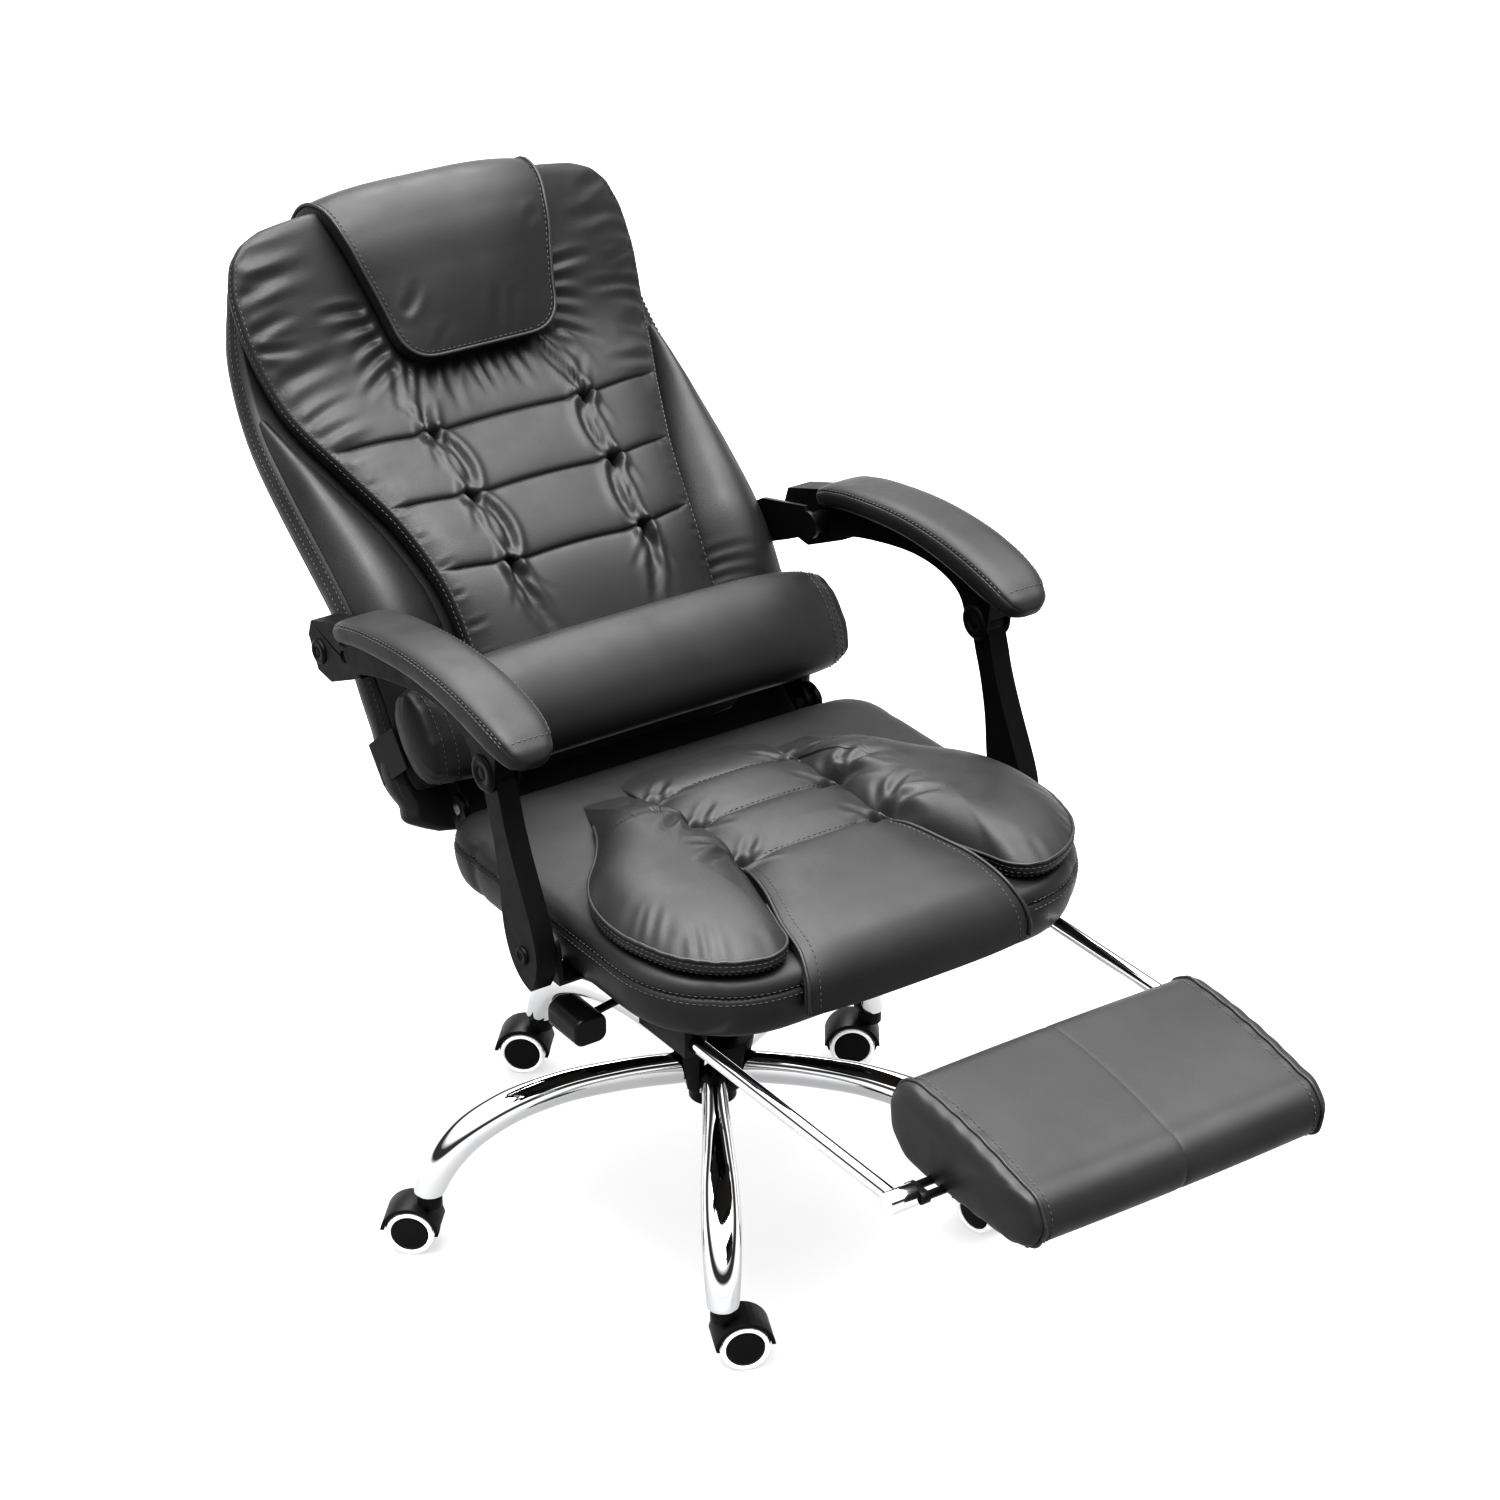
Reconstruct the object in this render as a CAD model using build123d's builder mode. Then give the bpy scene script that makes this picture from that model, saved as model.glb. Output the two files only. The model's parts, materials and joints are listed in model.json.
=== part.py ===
from build123d import *
import os
from math import cos, radians, sin

# Reclining office chair with a slide-out footrest, in millimetres.
# The origin is on the floor under the column, +Z is up, the chair faces -Y and +X is the sitter's left.
# It stands as it is used: back reclined, footrest drawn out and gas lift down.

# Fits
running_gap = 0.05
seat_gap = 0.3
open_gap = 1.5

# Star base
leg_overlap = 3
leg_count = 5
leg_turn = 21.9
caster_circle_radius = 309
leg_end_height = 68
leg_crown_height = 163
leg_hub_width = 26
leg_bend_width = 40
leg_end_width = 33
leg_depth = 36
hub_radius = 30
hub_half_height = 29
cover_bottom_radius = 36
cover_top_radius = 44
cover_lip = 4
cover_lift = 4
hub_bottom = leg_crown_height - hub_half_height
hub_top = leg_crown_height + hub_half_height

# Casters
wheel_radius = 25
wheel_width = 17
wheel_gap = 0.4
hub_recess = 1
tyre_thickness = 5.5
tyre_round = 2.5
web_thickness = 6
caster_trail = 19
hood_wall = 4
hood_edge_rise = 4
stem_radius = 5.5
stem_length = 24
axle_radius = 4
axle_recess = 2
boss_radius = 13
caster_headings = {"a": 145, "b": 139, "c": 139, "d": -24, "e": 100}

# Gas lift
standpipe_radius = 25
standpipe_wall = 3
standpipe_bottom = 118
standpipe_top = 336
standpipe_floor = 4
bush_length = 46
rod_radius = 5
rod_top = 326
collar_radius = 11
collar_height = 5
bearing_height = 6
bearing_overhang = 3
rod_tail = 6
piston_height = 14
cylinder_radius = 14
cylinder_wall = 3
cylinder_bottom = 142
cylinder_cap = 8

# Seat
seat_board_bottom = 412
seat_board_thickness = 12
seat_half_width = 258
seat_front = -345
seat_rear = 105
seat_front_corner = 120
seat_rear_corner = 45
seat_board_inset = 16
seat_base_height = 56
lobe_height = 47
tuft_radius = 13
tuft_depth = 7
seat_tuft_x = 84
seat_tuft_y = (-17, -94, -176)
channel_width = 4
channel_depth = 5

# Swivel plate under the seat
plate_thickness = 3
plate_width = 170
plate_centre_y = -45
plate_flange = 2
box_length = 206
plate_length = box_length + 2 * plate_flange
box_width = 130
box_height = 36
socket_radius = 20
socket_drop = 28
bolt_radius = 4
bolt_head_radius = 8
bolt_head_height = 5
bolt_margin = 10

# Recline hinge and the arm linkage, which is a parallelogram
hinge_y = 138
hinge_z = 458
hinge_plate_x = 206.5
hinge_plate_thickness = 4
hinge_eye_radius = 15
pivot_pin_radius = 6
link_run = 56
link_rise = 172
linkage_reach = 264
linkage_drop = 14
arm_frame_width = 30
strut_thickness = 22
bracket_clearance = 8
strut_standoff = 23
strut_bracket_x = seat_half_width + bracket_clearance
arm_centre_x = strut_bracket_x + strut_standoff
bracket_thickness = 5
arm_bracket_x = 253.5

# Back
back_lean = 39
back_profile = (
    (-15, 14), (40, 27), (130, 41), (220, 46), (302, 29), (380, 6), (460, -13), (540, -4), (600, 4), (660, 9)
)
cushion_depth = 50
back_board_thickness = 12
back_board_bottom = 25
back_board_top = 575
back_board_half_width = 196
shell_depth = 66
tuft_heights = (220, 302, 380)
back_tuft_x = (80, 86, 92)

# Lumbar pillow
pillow_height = 74
pillow_offset = 77
pillow_half_length = 260
pillow_tall = 59
pillow_deep = 39
strap_width = 44
strap_thickness = 2

# Footrest
rail_x = 209
rail_z = 395
rail_radius = 7.5
rail_front = -596
rail_rear = -200
guide_front = -285
guide_length = 80
guide_wall = 5
knuckle_radius = 11
knuckle_length = 30
footrest_axis_y = -605
footrest_axis_z = 398
footrest_half_width = 168
footrest_board_thickness = 12
footrest_board_length = 138
footrest_board_inset = 10
footrest_bar_radius = 4
footrest_bar_spacing = 18
footrest_stub_radius = 7

# Levers
lever_wall_gap = 9
lever_pivot_x = -45
lever_pivot_z = 388
lever_rod_radius = 4
lever_eye_radius = 8
lever_eye_width = 8
lever_y = plate_centre_y - box_length / 2 + plate_thickness + lever_wall_gap + lever_eye_width / 2
paddle_x = -244
paddle_z = 356
paddle_length = 50
paddle_width = 36
paddle_height = 30
lock_radius = 20
lock_thickness = 6
recline_lever_thickness = 5
recline_grip_y = 40
recline_grip_z = 384
recline_grip_radius = 7
recline_grip_end = 284

# Places worked out from the sizes above
hub_height = hub_top - hub_bottom
seat_board_top = seat_board_bottom + seat_board_thickness
seat_base_top = seat_board_top + seat_base_height
lobe_bottom = seat_base_top + seat_gap
strut_y = hinge_y - linkage_reach
strut_z = hinge_z - linkage_drop
arm_rear_y = hinge_y + link_run
arm_rear_z = hinge_z + link_rise
arm_front_y = strut_y + link_run
arm_front_z = strut_z + link_rise
link_length = (link_run**2 + link_rise**2) ** 0.5
back_up = (sin(radians(back_lean)), cos(radians(back_lean)))
back_front = (-back_up[1], back_up[0])

os.makedirs("parts", exist_ok=True)


def face_offset(height):
    """Front offset of the back's face at a height along the back, through the profile points."""
    last = len(back_profile) - 1
    k = 0
    while k < last - 1 and height > back_profile[k + 1][0]:
        k += 1
    (h0, w0), (h1, w1) = back_profile[k], back_profile[k + 1]
    before, after = back_profile[max(k - 1, 0)], back_profile[min(k + 2, last)]
    slope0 = (w1 - before[1]) / (h1 - before[0])
    slope1 = (after[1] - w0) / (after[0] - h0)
    span = h1 - h0
    t = (height - h0) / span
    return (
        w0 * (2 * t**3 - 3 * t**2 + 1)
        + w1 * (3 * t**2 - 2 * t**3)
        + span * slope0 * (t**3 - 2 * t**2 + t)
        + span * slope1 * (t**3 - t**2)
    )


def back_point(height, offset):
    """Y and Z of a point at a height along the back's chord and an offset in front of it."""
    y = hinge_y + height * back_up[0] + offset * back_front[0]
    z = hinge_z + height * back_up[1] + offset * back_front[1]
    return y, z


def back_station(height):
    """Plane across the back at a height: local X to the side, local Y to the front, origin on the face."""
    step = 1.0
    y0, z0 = back_point(height - step, face_offset(height - step))
    y1, z1 = back_point(height + step, face_offset(height + step))
    y, z = back_point(height, face_offset(height))
    return Plane(origin=(0, y, z), x_dir=(-1, 0, 0), z_dir=(0, y1 - y0, z1 - z0))


def crown_section(plane, half_width, rear, edge, front, bulge, centre=0):
    """Cushion section: flat rear, bulging sides and a crowned front."""
    middle = (rear + edge) / 2
    left = centre - half_width
    right = centre + half_width
    with BuildSketch(plane) as section:
        with BuildLine():
            Line((left, rear), (right, rear))
            ThreePointArc((right, rear), (right + bulge, middle), (right, edge))
            ThreePointArc((right, edge), (centre, front), (left, edge))
            ThreePointArc((left, edge), (left - bulge, middle), (left, rear))
        make_face()
    return section.sketch


def round_section(plane, half_width, half_height):
    """Oval section of four arcs."""
    diagonal = 0.72
    a, b = half_width, half_height
    with BuildSketch(plane) as section:
        with BuildLine():
            ThreePointArc((a, 0), (a * diagonal, b * diagonal), (0, b))
            ThreePointArc((0, b), (-a * diagonal, b * diagonal), (-a, 0))
            ThreePointArc((-a, 0), (-a * diagonal, -b * diagonal), (0, -b))
            ThreePointArc((0, -b), (a * diagonal, -b * diagonal), (a, 0))
        make_face()
    return section.sketch


def back_band(low, high, near, far):
    """Side profile of a bent sheet behind the back's face, between two depths."""
    steps = 32
    heights = [low + (high - low) * k / steps for k in range(steps + 1)]
    front_line = [back_station(h).from_local_coords((0, -near, 0)) for h in heights]
    rear_line = [back_station(h).from_local_coords((0, -far, 0)) for h in heights]
    with BuildSketch(Plane.YZ) as band:
        with BuildLine():
            Spline(*[(p.Y, p.Z) for p in front_line])
            Spline(*[(p.Y, p.Z) for p in rear_line])
            Line((front_line[0].Y, front_line[0].Z), (rear_line[0].Y, rear_line[0].Z))
            Line((front_line[-1].Y, front_line[-1].Z), (rear_line[-1].Y, rear_line[-1].Z))
        make_face()
    return band.sketch


# Star base: five arched tube legs on a hub
leg_start = hub_radius - leg_overlap
leg_stations = (
    (0.00, 0.93, 4, leg_hub_width, leg_depth),
    (0.27, 0.99, 2, leg_hub_width + 2, leg_depth - 1),
    (0.52, 0.97, -7, leg_hub_width + 7, leg_depth - 1),
    (0.72, 0.83, -25, leg_bend_width - 1, leg_depth),
    (0.87, 0.58, -44, leg_bend_width, leg_depth + 1),
    (0.96, 0.27, -66, leg_bend_width - 3, leg_depth),
    (1.00, 0.00, -90, leg_end_width, leg_end_width),
)
section_turns = [radians(30 * step) for step in range(12)]
leg_sections = []
for reach, rise, slope, width, depth in leg_stations:
    station_x = leg_start + reach * (caster_circle_radius - leg_start)
    station_z = leg_end_height + rise * (leg_crown_height - leg_end_height)
    heading = (cos(radians(slope)), 0, sin(radians(slope)))
    section_plane = Plane(origin=(station_x, 0, station_z), x_dir=(0, 1, 0), z_dir=heading)
    with BuildSketch(section_plane) as leg_section:
        with BuildLine():
            Spline(*[(width / 2 * cos(turn), depth / 2 * sin(turn)) for turn in section_turns], periodic=True)
        make_face()
    leg_sections.append(leg_section.sketch)

with BuildPart() as leg:
    loft(leg_sections)
    with Locations((caster_circle_radius, 0, leg_end_height)):
        Cylinder(
            stem_radius + running_gap, stem_length + open_gap,
            align=(Align.CENTER, Align.CENTER, Align.MIN), mode=Mode.SUBTRACT,
        )

with BuildPart() as base_star:
    with Locations((0, 0, hub_bottom)):
        Cylinder(hub_radius, hub_height, align=(Align.CENTER, Align.CENTER, Align.MIN))
    with PolarLocations(0, leg_count, leg_turn):
        add(leg.part)
    with Locations((0, 0, hub_bottom)):
        Cylinder(
            standpipe_radius, hub_height, align=(Align.CENTER, Align.CENTER, Align.MIN), mode=Mode.SUBTRACT
        )
base_star.part.label = "base_star"
export_step(base_star.part, "parts/base_star.step")

# Hub cover: a plastic cap pushed over the hub, slotted for the legs
cover_bottom = hub_bottom + cover_lift
cover_top = hub_top + cover_lip
slot_width = leg_hub_width + 2 * open_gap
slot_top = leg_crown_height + leg_depth / 2 + open_gap
with BuildPart() as hub_cover:
    with Locations((0, 0, cover_bottom)):
        Cone(
            cover_bottom_radius, cover_top_radius, cover_top - cover_bottom,
            align=(Align.CENTER, Align.CENTER, Align.MIN),
        )
    with Locations((0, 0, cover_bottom)):
        Cylinder(
            hub_radius + seat_gap, hub_top + seat_gap - cover_bottom,
            align=(Align.CENTER, Align.CENTER, Align.MIN), mode=Mode.SUBTRACT,
        )
        Cylinder(
            standpipe_radius + seat_gap, cover_top - cover_bottom,
            align=(Align.CENTER, Align.CENTER, Align.MIN), mode=Mode.SUBTRACT,
        )
    with PolarLocations(0, leg_count, leg_turn):
        with Locations((0, 0, cover_bottom)):
            Box(
                2 * cover_top_radius, slot_width, slot_top - cover_bottom,
                align=(Align.MIN, Align.CENTER, Align.MIN), mode=Mode.SUBTRACT,
            )
hub_cover.part.label = "hub_cover"
export_step(hub_cover.part, "parts/hub_cover.step")

# Gas lift: standpipe in the hub, guide bush, thrust bearing, piston rod and cylinder
standpipe_bore = standpipe_radius - standpipe_wall
with BuildPart() as lift_standpipe:
    with Locations((0, 0, standpipe_bottom)):
        Cylinder(
            standpipe_radius, standpipe_top - standpipe_bottom, align=(Align.CENTER, Align.CENTER, Align.MIN)
        )
        Cylinder(
            rod_radius + running_gap, standpipe_floor,
            align=(Align.CENTER, Align.CENTER, Align.MIN), mode=Mode.SUBTRACT,
        )
    with Locations((0, 0, standpipe_bottom + standpipe_floor)):
        Cylinder(
            standpipe_bore, standpipe_top - standpipe_bottom,
            align=(Align.CENTER, Align.CENTER, Align.MIN), mode=Mode.SUBTRACT,
        )
lift_standpipe.part.label = "lift_standpipe"
export_step(lift_standpipe.part, "parts/lift_standpipe.step")

with BuildPart() as lift_guide_bush:
    with Locations((0, 0, standpipe_top - bush_length)):
        Cylinder(standpipe_bore, bush_length, align=(Align.CENTER, Align.CENTER, Align.MIN))
        Cylinder(
            cylinder_radius + running_gap, bush_length,
            align=(Align.CENTER, Align.CENTER, Align.MIN), mode=Mode.SUBTRACT,
        )
lift_guide_bush.part.label = "lift_guide_bush"
export_step(lift_guide_bush.part, "parts/lift_guide_bush.step")

bearing_bottom = standpipe_bottom + standpipe_floor
with BuildPart() as lift_thrust_bearing:
    with Locations((0, 0, bearing_bottom)):
        Cylinder(
            collar_radius + bearing_overhang, bearing_height,
            align=(Align.CENTER, Align.CENTER, Align.MIN),
        )
        Cylinder(
            rod_radius + seat_gap, bearing_height,
            align=(Align.CENTER, Align.CENTER, Align.MIN), mode=Mode.SUBTRACT,
        )
lift_thrust_bearing.part.label = "lift_thrust_bearing"
export_step(lift_thrust_bearing.part, "parts/lift_thrust_bearing.step")

rod_bottom = standpipe_bottom - rod_tail
collar_bottom = bearing_bottom + bearing_height
cylinder_bore = cylinder_radius - cylinder_wall
with BuildPart() as lift_piston_rod:
    with Locations((0, 0, rod_bottom)):
        Cylinder(rod_radius, rod_top - rod_bottom, align=(Align.CENTER, Align.CENTER, Align.MIN))
    with Locations((0, 0, collar_bottom)):
        Cylinder(collar_radius, collar_height, align=(Align.CENTER, Align.CENTER, Align.MIN))
    with Locations((0, 0, rod_top - piston_height)):
        Cylinder(cylinder_bore - running_gap, piston_height, align=(Align.CENTER, Align.CENTER, Align.MIN))
lift_piston_rod.part.label = "lift_piston_rod"
export_step(lift_piston_rod.part, "parts/lift_piston_rod.step")

cylinder_top = seat_board_bottom - plate_thickness - seat_gap
with BuildPart() as lift_cylinder:
    with Locations((0, 0, cylinder_bottom)):
        Cylinder(
            cylinder_radius, cylinder_top - cylinder_bottom,
            align=(Align.CENTER, Align.CENTER, Align.MIN),
        )
    with Locations((0, 0, cylinder_bottom + cylinder_cap)):
        Cylinder(
            cylinder_bore, cylinder_top - cylinder_bottom - 2 * cylinder_cap,
            align=(Align.CENTER, Align.CENTER, Align.MIN), mode=Mode.SUBTRACT,
        )
    with Locations((0, 0, cylinder_bottom)):
        Cylinder(
            rod_radius + running_gap, cylinder_cap,
            align=(Align.CENTER, Align.CENTER, Align.MIN), mode=Mode.SUBTRACT,
        )
lift_cylinder.part.label = "lift_cylinder"
export_step(lift_cylinder.part, "parts/lift_cylinder.step")

# Casters: hood with its stem and axle, and two wheels, each a hub with a tyre
wheel_inner = web_thickness / 2 + wheel_gap
caster_half_width = wheel_inner + wheel_width
hood_inner_radius = wheel_radius + open_gap
hood_outer_radius = hood_inner_radius + hood_wall
hood_edge_height = wheel_radius + hood_edge_rise
boss_bottom = 2 * wheel_radius + open_gap
boss_top = leg_end_height - seat_gap
with BuildPart() as caster_hood:
    with BuildSketch(Plane.XZ):
        with Locations((caster_trail, wheel_radius)):
            Circle(hood_outer_radius)
            Circle(hood_inner_radius, mode=Mode.SUBTRACT)
        with Locations((caster_trail, hood_edge_height)):
            Rectangle(
                4 * hood_outer_radius, 4 * hood_outer_radius,
                align=(Align.CENTER, Align.MAX), mode=Mode.SUBTRACT,
            )
    extrude(amount=caster_half_width, both=True)
    with BuildSketch(Plane.XZ):
        with Locations((caster_trail, wheel_radius)):
            Circle(hood_inner_radius + hood_wall / 2)
        with Locations((caster_trail, wheel_radius / 2)):
            Rectangle(
                4 * hood_outer_radius, 4 * hood_outer_radius,
                align=(Align.CENTER, Align.MAX), mode=Mode.SUBTRACT,
            )
    extrude(amount=web_thickness / 2, both=True)
    with Locations((0, 0, boss_bottom)):
        Cylinder(boss_radius, boss_top - boss_bottom, align=(Align.CENTER, Align.CENTER, Align.MIN))
    with Locations((caster_trail, 0, wheel_radius)):
        Cylinder(axle_radius, 4 * caster_half_width, rotation=(90, 0, 0), mode=Mode.SUBTRACT)
    with Locations((0, 0, boss_bottom)):
        Cylinder(
            stem_radius, boss_top - boss_bottom,
            align=(Align.CENTER, Align.CENTER, Align.MIN), mode=Mode.SUBTRACT,
        )

with BuildPart() as caster_pins:
    with Locations((caster_trail, 0, wheel_radius)):
        Cylinder(axle_radius, 2 * (caster_half_width - axle_recess), rotation=(90, 0, 0))
    with Locations((0, 0, boss_bottom)):
        Cylinder(
            stem_radius, leg_end_height + stem_length - boss_bottom,
            align=(Align.CENTER, Align.CENTER, Align.MIN),
        )

hub_disc_radius = wheel_radius - tyre_thickness
with BuildPart() as wheel_tyre:
    with BuildSketch(Plane.XZ.offset(-wheel_inner)):
        with Locations((caster_trail, wheel_radius)):
            Circle(wheel_radius)
            Circle(hub_disc_radius, mode=Mode.SUBTRACT)
    extrude(amount=-wheel_width)
    fillet(wheel_tyre.edges().filter_by(GeomType.CIRCLE).group_by(SortBy.RADIUS)[-1], tyre_round)
with BuildPart() as wheel_hub:
    with BuildSketch(Plane.XZ.offset(-wheel_inner)):
        with Locations((caster_trail, wheel_radius)):
            Circle(hub_disc_radius)
            Circle(axle_radius + running_gap, mode=Mode.SUBTRACT)
    extrude(amount=-(wheel_width - hub_recess))

for number, (letter, trail_heading) in enumerate(caster_headings.items()):
    leg_heading = leg_turn + number * 360 / leg_count
    stem_x = caster_circle_radius * cos(radians(leg_heading))
    stem_y = caster_circle_radius * sin(radians(leg_heading))
    place = Location((stem_x, stem_y, 0), (0, 0, trail_heading))
    with BuildPart() as hood_node:
        with Locations(place):
            add(caster_hood.part)
    hood_group = Compound(children=[hood_node.part] + [place * pin for pin in caster_pins.part.solids()])
    hood_group.label = f"caster_hood_{letter}"
    export_step(hood_group, f"parts/caster_hood_{letter}.step")
    for side_name, turn in (("near", 0), ("far", 1)):
        half = (wheel_tyre.part, wheel_hub.part)
        if turn:
            half = tuple(mirror(piece, about=Plane.XZ) for piece in half)
        wheel_group = Compound(children=[place * piece.solid() for piece in half])
        wheel_group.label = f"caster_wheel_{letter}_{side_name}"
        export_step(wheel_group, f"parts/caster_wheel_{letter}_{side_name}.step")


def seat_section(height, inset):
    """Plan outline of the seat: straight sides, large front corners and small rear ones."""
    half = seat_half_width - inset
    front = seat_front + inset
    rear = seat_rear - inset
    big = seat_front_corner - inset
    small = seat_rear_corner - inset
    near = 1 - sin(radians(45))
    with BuildSketch(Plane.XY.offset(height)) as section:
        with BuildLine():
            Line((big - half, front), (half - big, front))
            ThreePointArc((half - big, front), (half - near * big, front + near * big), (half, front + big))
            Line((half, front + big), (half, rear - small))
            ThreePointArc(
                (half, rear - small), (half - near * small, rear - near * small), (half - small, rear)
            )
            Line((half - small, rear), (small - half, rear))
            ThreePointArc(
                (small - half, rear), (near * small - half, rear - near * small), (-half, rear - small)
            )
            Line((-half, rear - small), (-half, front + big))
            ThreePointArc(
                (-half, front + big), (near * big - half, front + near * big), (big - half, front)
            )
        make_face()
    return section.sketch


# Swivel plate: a pressed flange and box with the socket for the lift
plate_top = seat_board_bottom
plate_bottom = plate_top - plate_thickness
box_bottom = plate_bottom - box_height
bolt_x = plate_width / 2 - bolt_margin
bolt_y = plate_length / 2 - bolt_margin
with BuildPart() as swivel_plate:
    with Locations((0, plate_centre_y, plate_bottom)):
        Box(plate_width, plate_length, plate_thickness, align=(Align.CENTER, Align.CENTER, Align.MIN))
    with Locations((0, plate_centre_y, plate_bottom)):
        Box(box_width, box_length, box_height, align=(Align.CENTER, Align.CENTER, Align.MAX))
        Box(
            box_width - 2 * plate_thickness, box_length - 2 * plate_thickness, box_height,
            align=(Align.CENTER, Align.CENTER, Align.MAX), mode=Mode.SUBTRACT,
        )
    with Locations((0, 0, plate_bottom)):
        Cylinder(
            socket_radius, box_height + socket_drop, align=(Align.CENTER, Align.CENTER, Align.MAX)
        )
        Cylinder(
            cylinder_radius, box_height + socket_drop,
            align=(Align.CENTER, Align.CENTER, Align.MAX), mode=Mode.SUBTRACT,
        )
    with Locations((-box_width / 2, lever_y, box_bottom)):
        Box(
            4 * plate_thickness, 2 * lever_eye_width, box_height - lever_eye_width,
            align=(Align.CENTER, Align.CENTER, Align.MIN), mode=Mode.SUBTRACT,
        )
    with Locations((lever_pivot_x, plate_centre_y - box_length / 2, lever_pivot_z)):
        Cylinder(pivot_pin_radius / 2, 4 * plate_thickness, rotation=(90, 0, 0), mode=Mode.SUBTRACT)
    with Locations((0, plate_centre_y, plate_bottom)):
        with GridLocations(2 * bolt_x, 2 * bolt_y, 2, 2):
            Cylinder(bolt_radius + seat_gap, 4 * plate_thickness, mode=Mode.SUBTRACT)
swivel_plate.part.label = "swivel_plate"
export_step(swivel_plate.part, "parts/swivel_plate.step")

# Seat board with its bolts
with BuildPart() as seat_board:
    add(seat_section(seat_board_bottom, seat_board_inset))
    extrude(amount=seat_board_thickness)
    with Locations((0, plate_centre_y, seat_board_bottom)):
        with GridLocations(2 * bolt_x, 2 * bolt_y, 2, 2):
            Cylinder(
                bolt_radius + seat_gap, seat_board_thickness,
                align=(Align.CENTER, Align.CENTER, Align.MIN), mode=Mode.SUBTRACT,
            )
seat_board.part.label = "seat_board"
export_step(seat_board.part, "parts/seat_board.step")

with BuildPart() as seat_bolts:
    with Locations((0, plate_centre_y, plate_bottom)):
        with GridLocations(2 * bolt_x, 2 * bolt_y, 2, 2):
            Cylinder(bolt_head_radius, bolt_head_height, align=(Align.CENTER, Align.CENTER, Align.MAX))
            Cylinder(
                bolt_radius, plate_thickness + seat_board_thickness,
                align=(Align.CENTER, Align.CENTER, Align.MIN),
            )
seat_bolts.part.label = "seat_bolts"
export_step(seat_bolts.part, "parts/seat_bolts.step")

# Seat base: the upholstered box that carries the seat cushions
base_levels = ((0, 15), (0.2, 3), (0.55, 0), (0.85, 5), (1, 18))
with BuildPart() as seat_base_cushion:
    loft([seat_section(seat_board_top + share * seat_base_height, inset) for share, inset in base_levels])
seat_base_cushion.part.label = "seat_base_cushion"
export_step(seat_base_cushion.part, "parts/seat_base_cushion.step")

# Seat lobes: kidney-shaped side pillows, the left one drawn and the right one mirrored
lobe_middle = (150, -160)
lobe_half = (100, 185)
lobe_levels = ((0, 16), (0.2, 3), (0.46, 0), (0.72, 9), (0.9, 30), (1, 56))


def lobe_section(height, inset):
    """Plan outline of a seat lobe, drawn in towards its middle by an inset."""
    def at(x, y):
        share_x = 1 - inset / lobe_half[0]
        share_y = 1 - inset / lobe_half[1]
        moved_x = lobe_middle[0] + share_x * (x - lobe_middle[0])
        moved_y = lobe_middle[1] + share_y * (y - lobe_middle[1])
        return moved_x, moved_y

    with BuildSketch(Plane.XY.offset(height)) as section:
        with BuildLine():
            Line(at(84, 25), at(136, 25))
            ThreePointArc(at(136, 25), at(167, -50), at(213, -111))
            ThreePointArc(at(213, -111), at(250, -190), at(243, -258))
            ThreePointArc(at(243, -258), at(216, -308), at(168, -335))
            ThreePointArc(at(168, -335), at(142, -331), at(124, -300))
            ThreePointArc(at(124, -300), at(100, -228), at(83, -165))
            Line(at(83, -165), at(84, 25))
        make_face()
    return section.sketch


tuft_rise = tuft_radius - tuft_depth
tuft_level = lobe_bottom + 0.62 * lobe_height
with BuildPart() as seat_lobe_left:
    loft([lobe_section(lobe_bottom + share * lobe_height, inset) for share, inset in lobe_levels])
    with Locations(*[(seat_tuft_x, y, tuft_level + tuft_rise) for y in seat_tuft_y]):
        Sphere(tuft_radius, mode=Mode.SUBTRACT)
seat_lobe_left.part.label = "seat_lobe_left"
export_step(seat_lobe_left.part, "parts/seat_lobe_left.step")

with BuildPart() as seat_lobe_right:
    mirror(seat_lobe_left.part, about=Plane.YZ)
seat_lobe_right.part.label = "seat_lobe_right"
export_step(seat_lobe_right.part, "parts/seat_lobe_right.step")

# Seat centre: a panel between the lobes that rolls over the front edge, with sewn channels and tufts
centre_stations = (
    (28, lobe_bottom + 12, -12, 78, 11, 4),
    (-17, lobe_bottom + 26, -5, 78, 25, 7),
    (-94, lobe_bottom + 32, 0, 78, 31, 7),
    (-176, lobe_bottom + 31, 2, 77, 30, 7),
    (-235, lobe_bottom + 31, 4, 90, 30, 9),
    (-290, lobe_bottom + 26, 18, 109, 24, 9),
    (seat_front + 6, lobe_bottom + 13, 45, 119, 16, 8),
    (seat_front - 13, lobe_bottom - 13, 78, 125, 11, 4),
    (seat_front - 11, lobe_bottom - 43, 95, 124, 9, 3),
)


def centre_plane(y, z, slope):
    """Plane across the seat's centre panel, with local Y outwards."""
    return Plane(origin=(0, y, z), x_dir=(1, 0, 0), z_dir=(0, -cos(radians(slope)), -sin(radians(slope))))


def channel_section(plane, half_width, edge, front, depth):
    """What a sewn channel takes away above its crowned floor."""
    with BuildSketch(plane) as section:
        with BuildLine():
            ThreePointArc((half_width, edge - depth), (0, front - depth), (-half_width, edge - depth))
            Polyline(
                (-half_width, edge - depth), (-half_width, front + depth),
                (half_width, front + depth), (half_width, edge - depth),
            )
        make_face()
    return section.sketch


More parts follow.
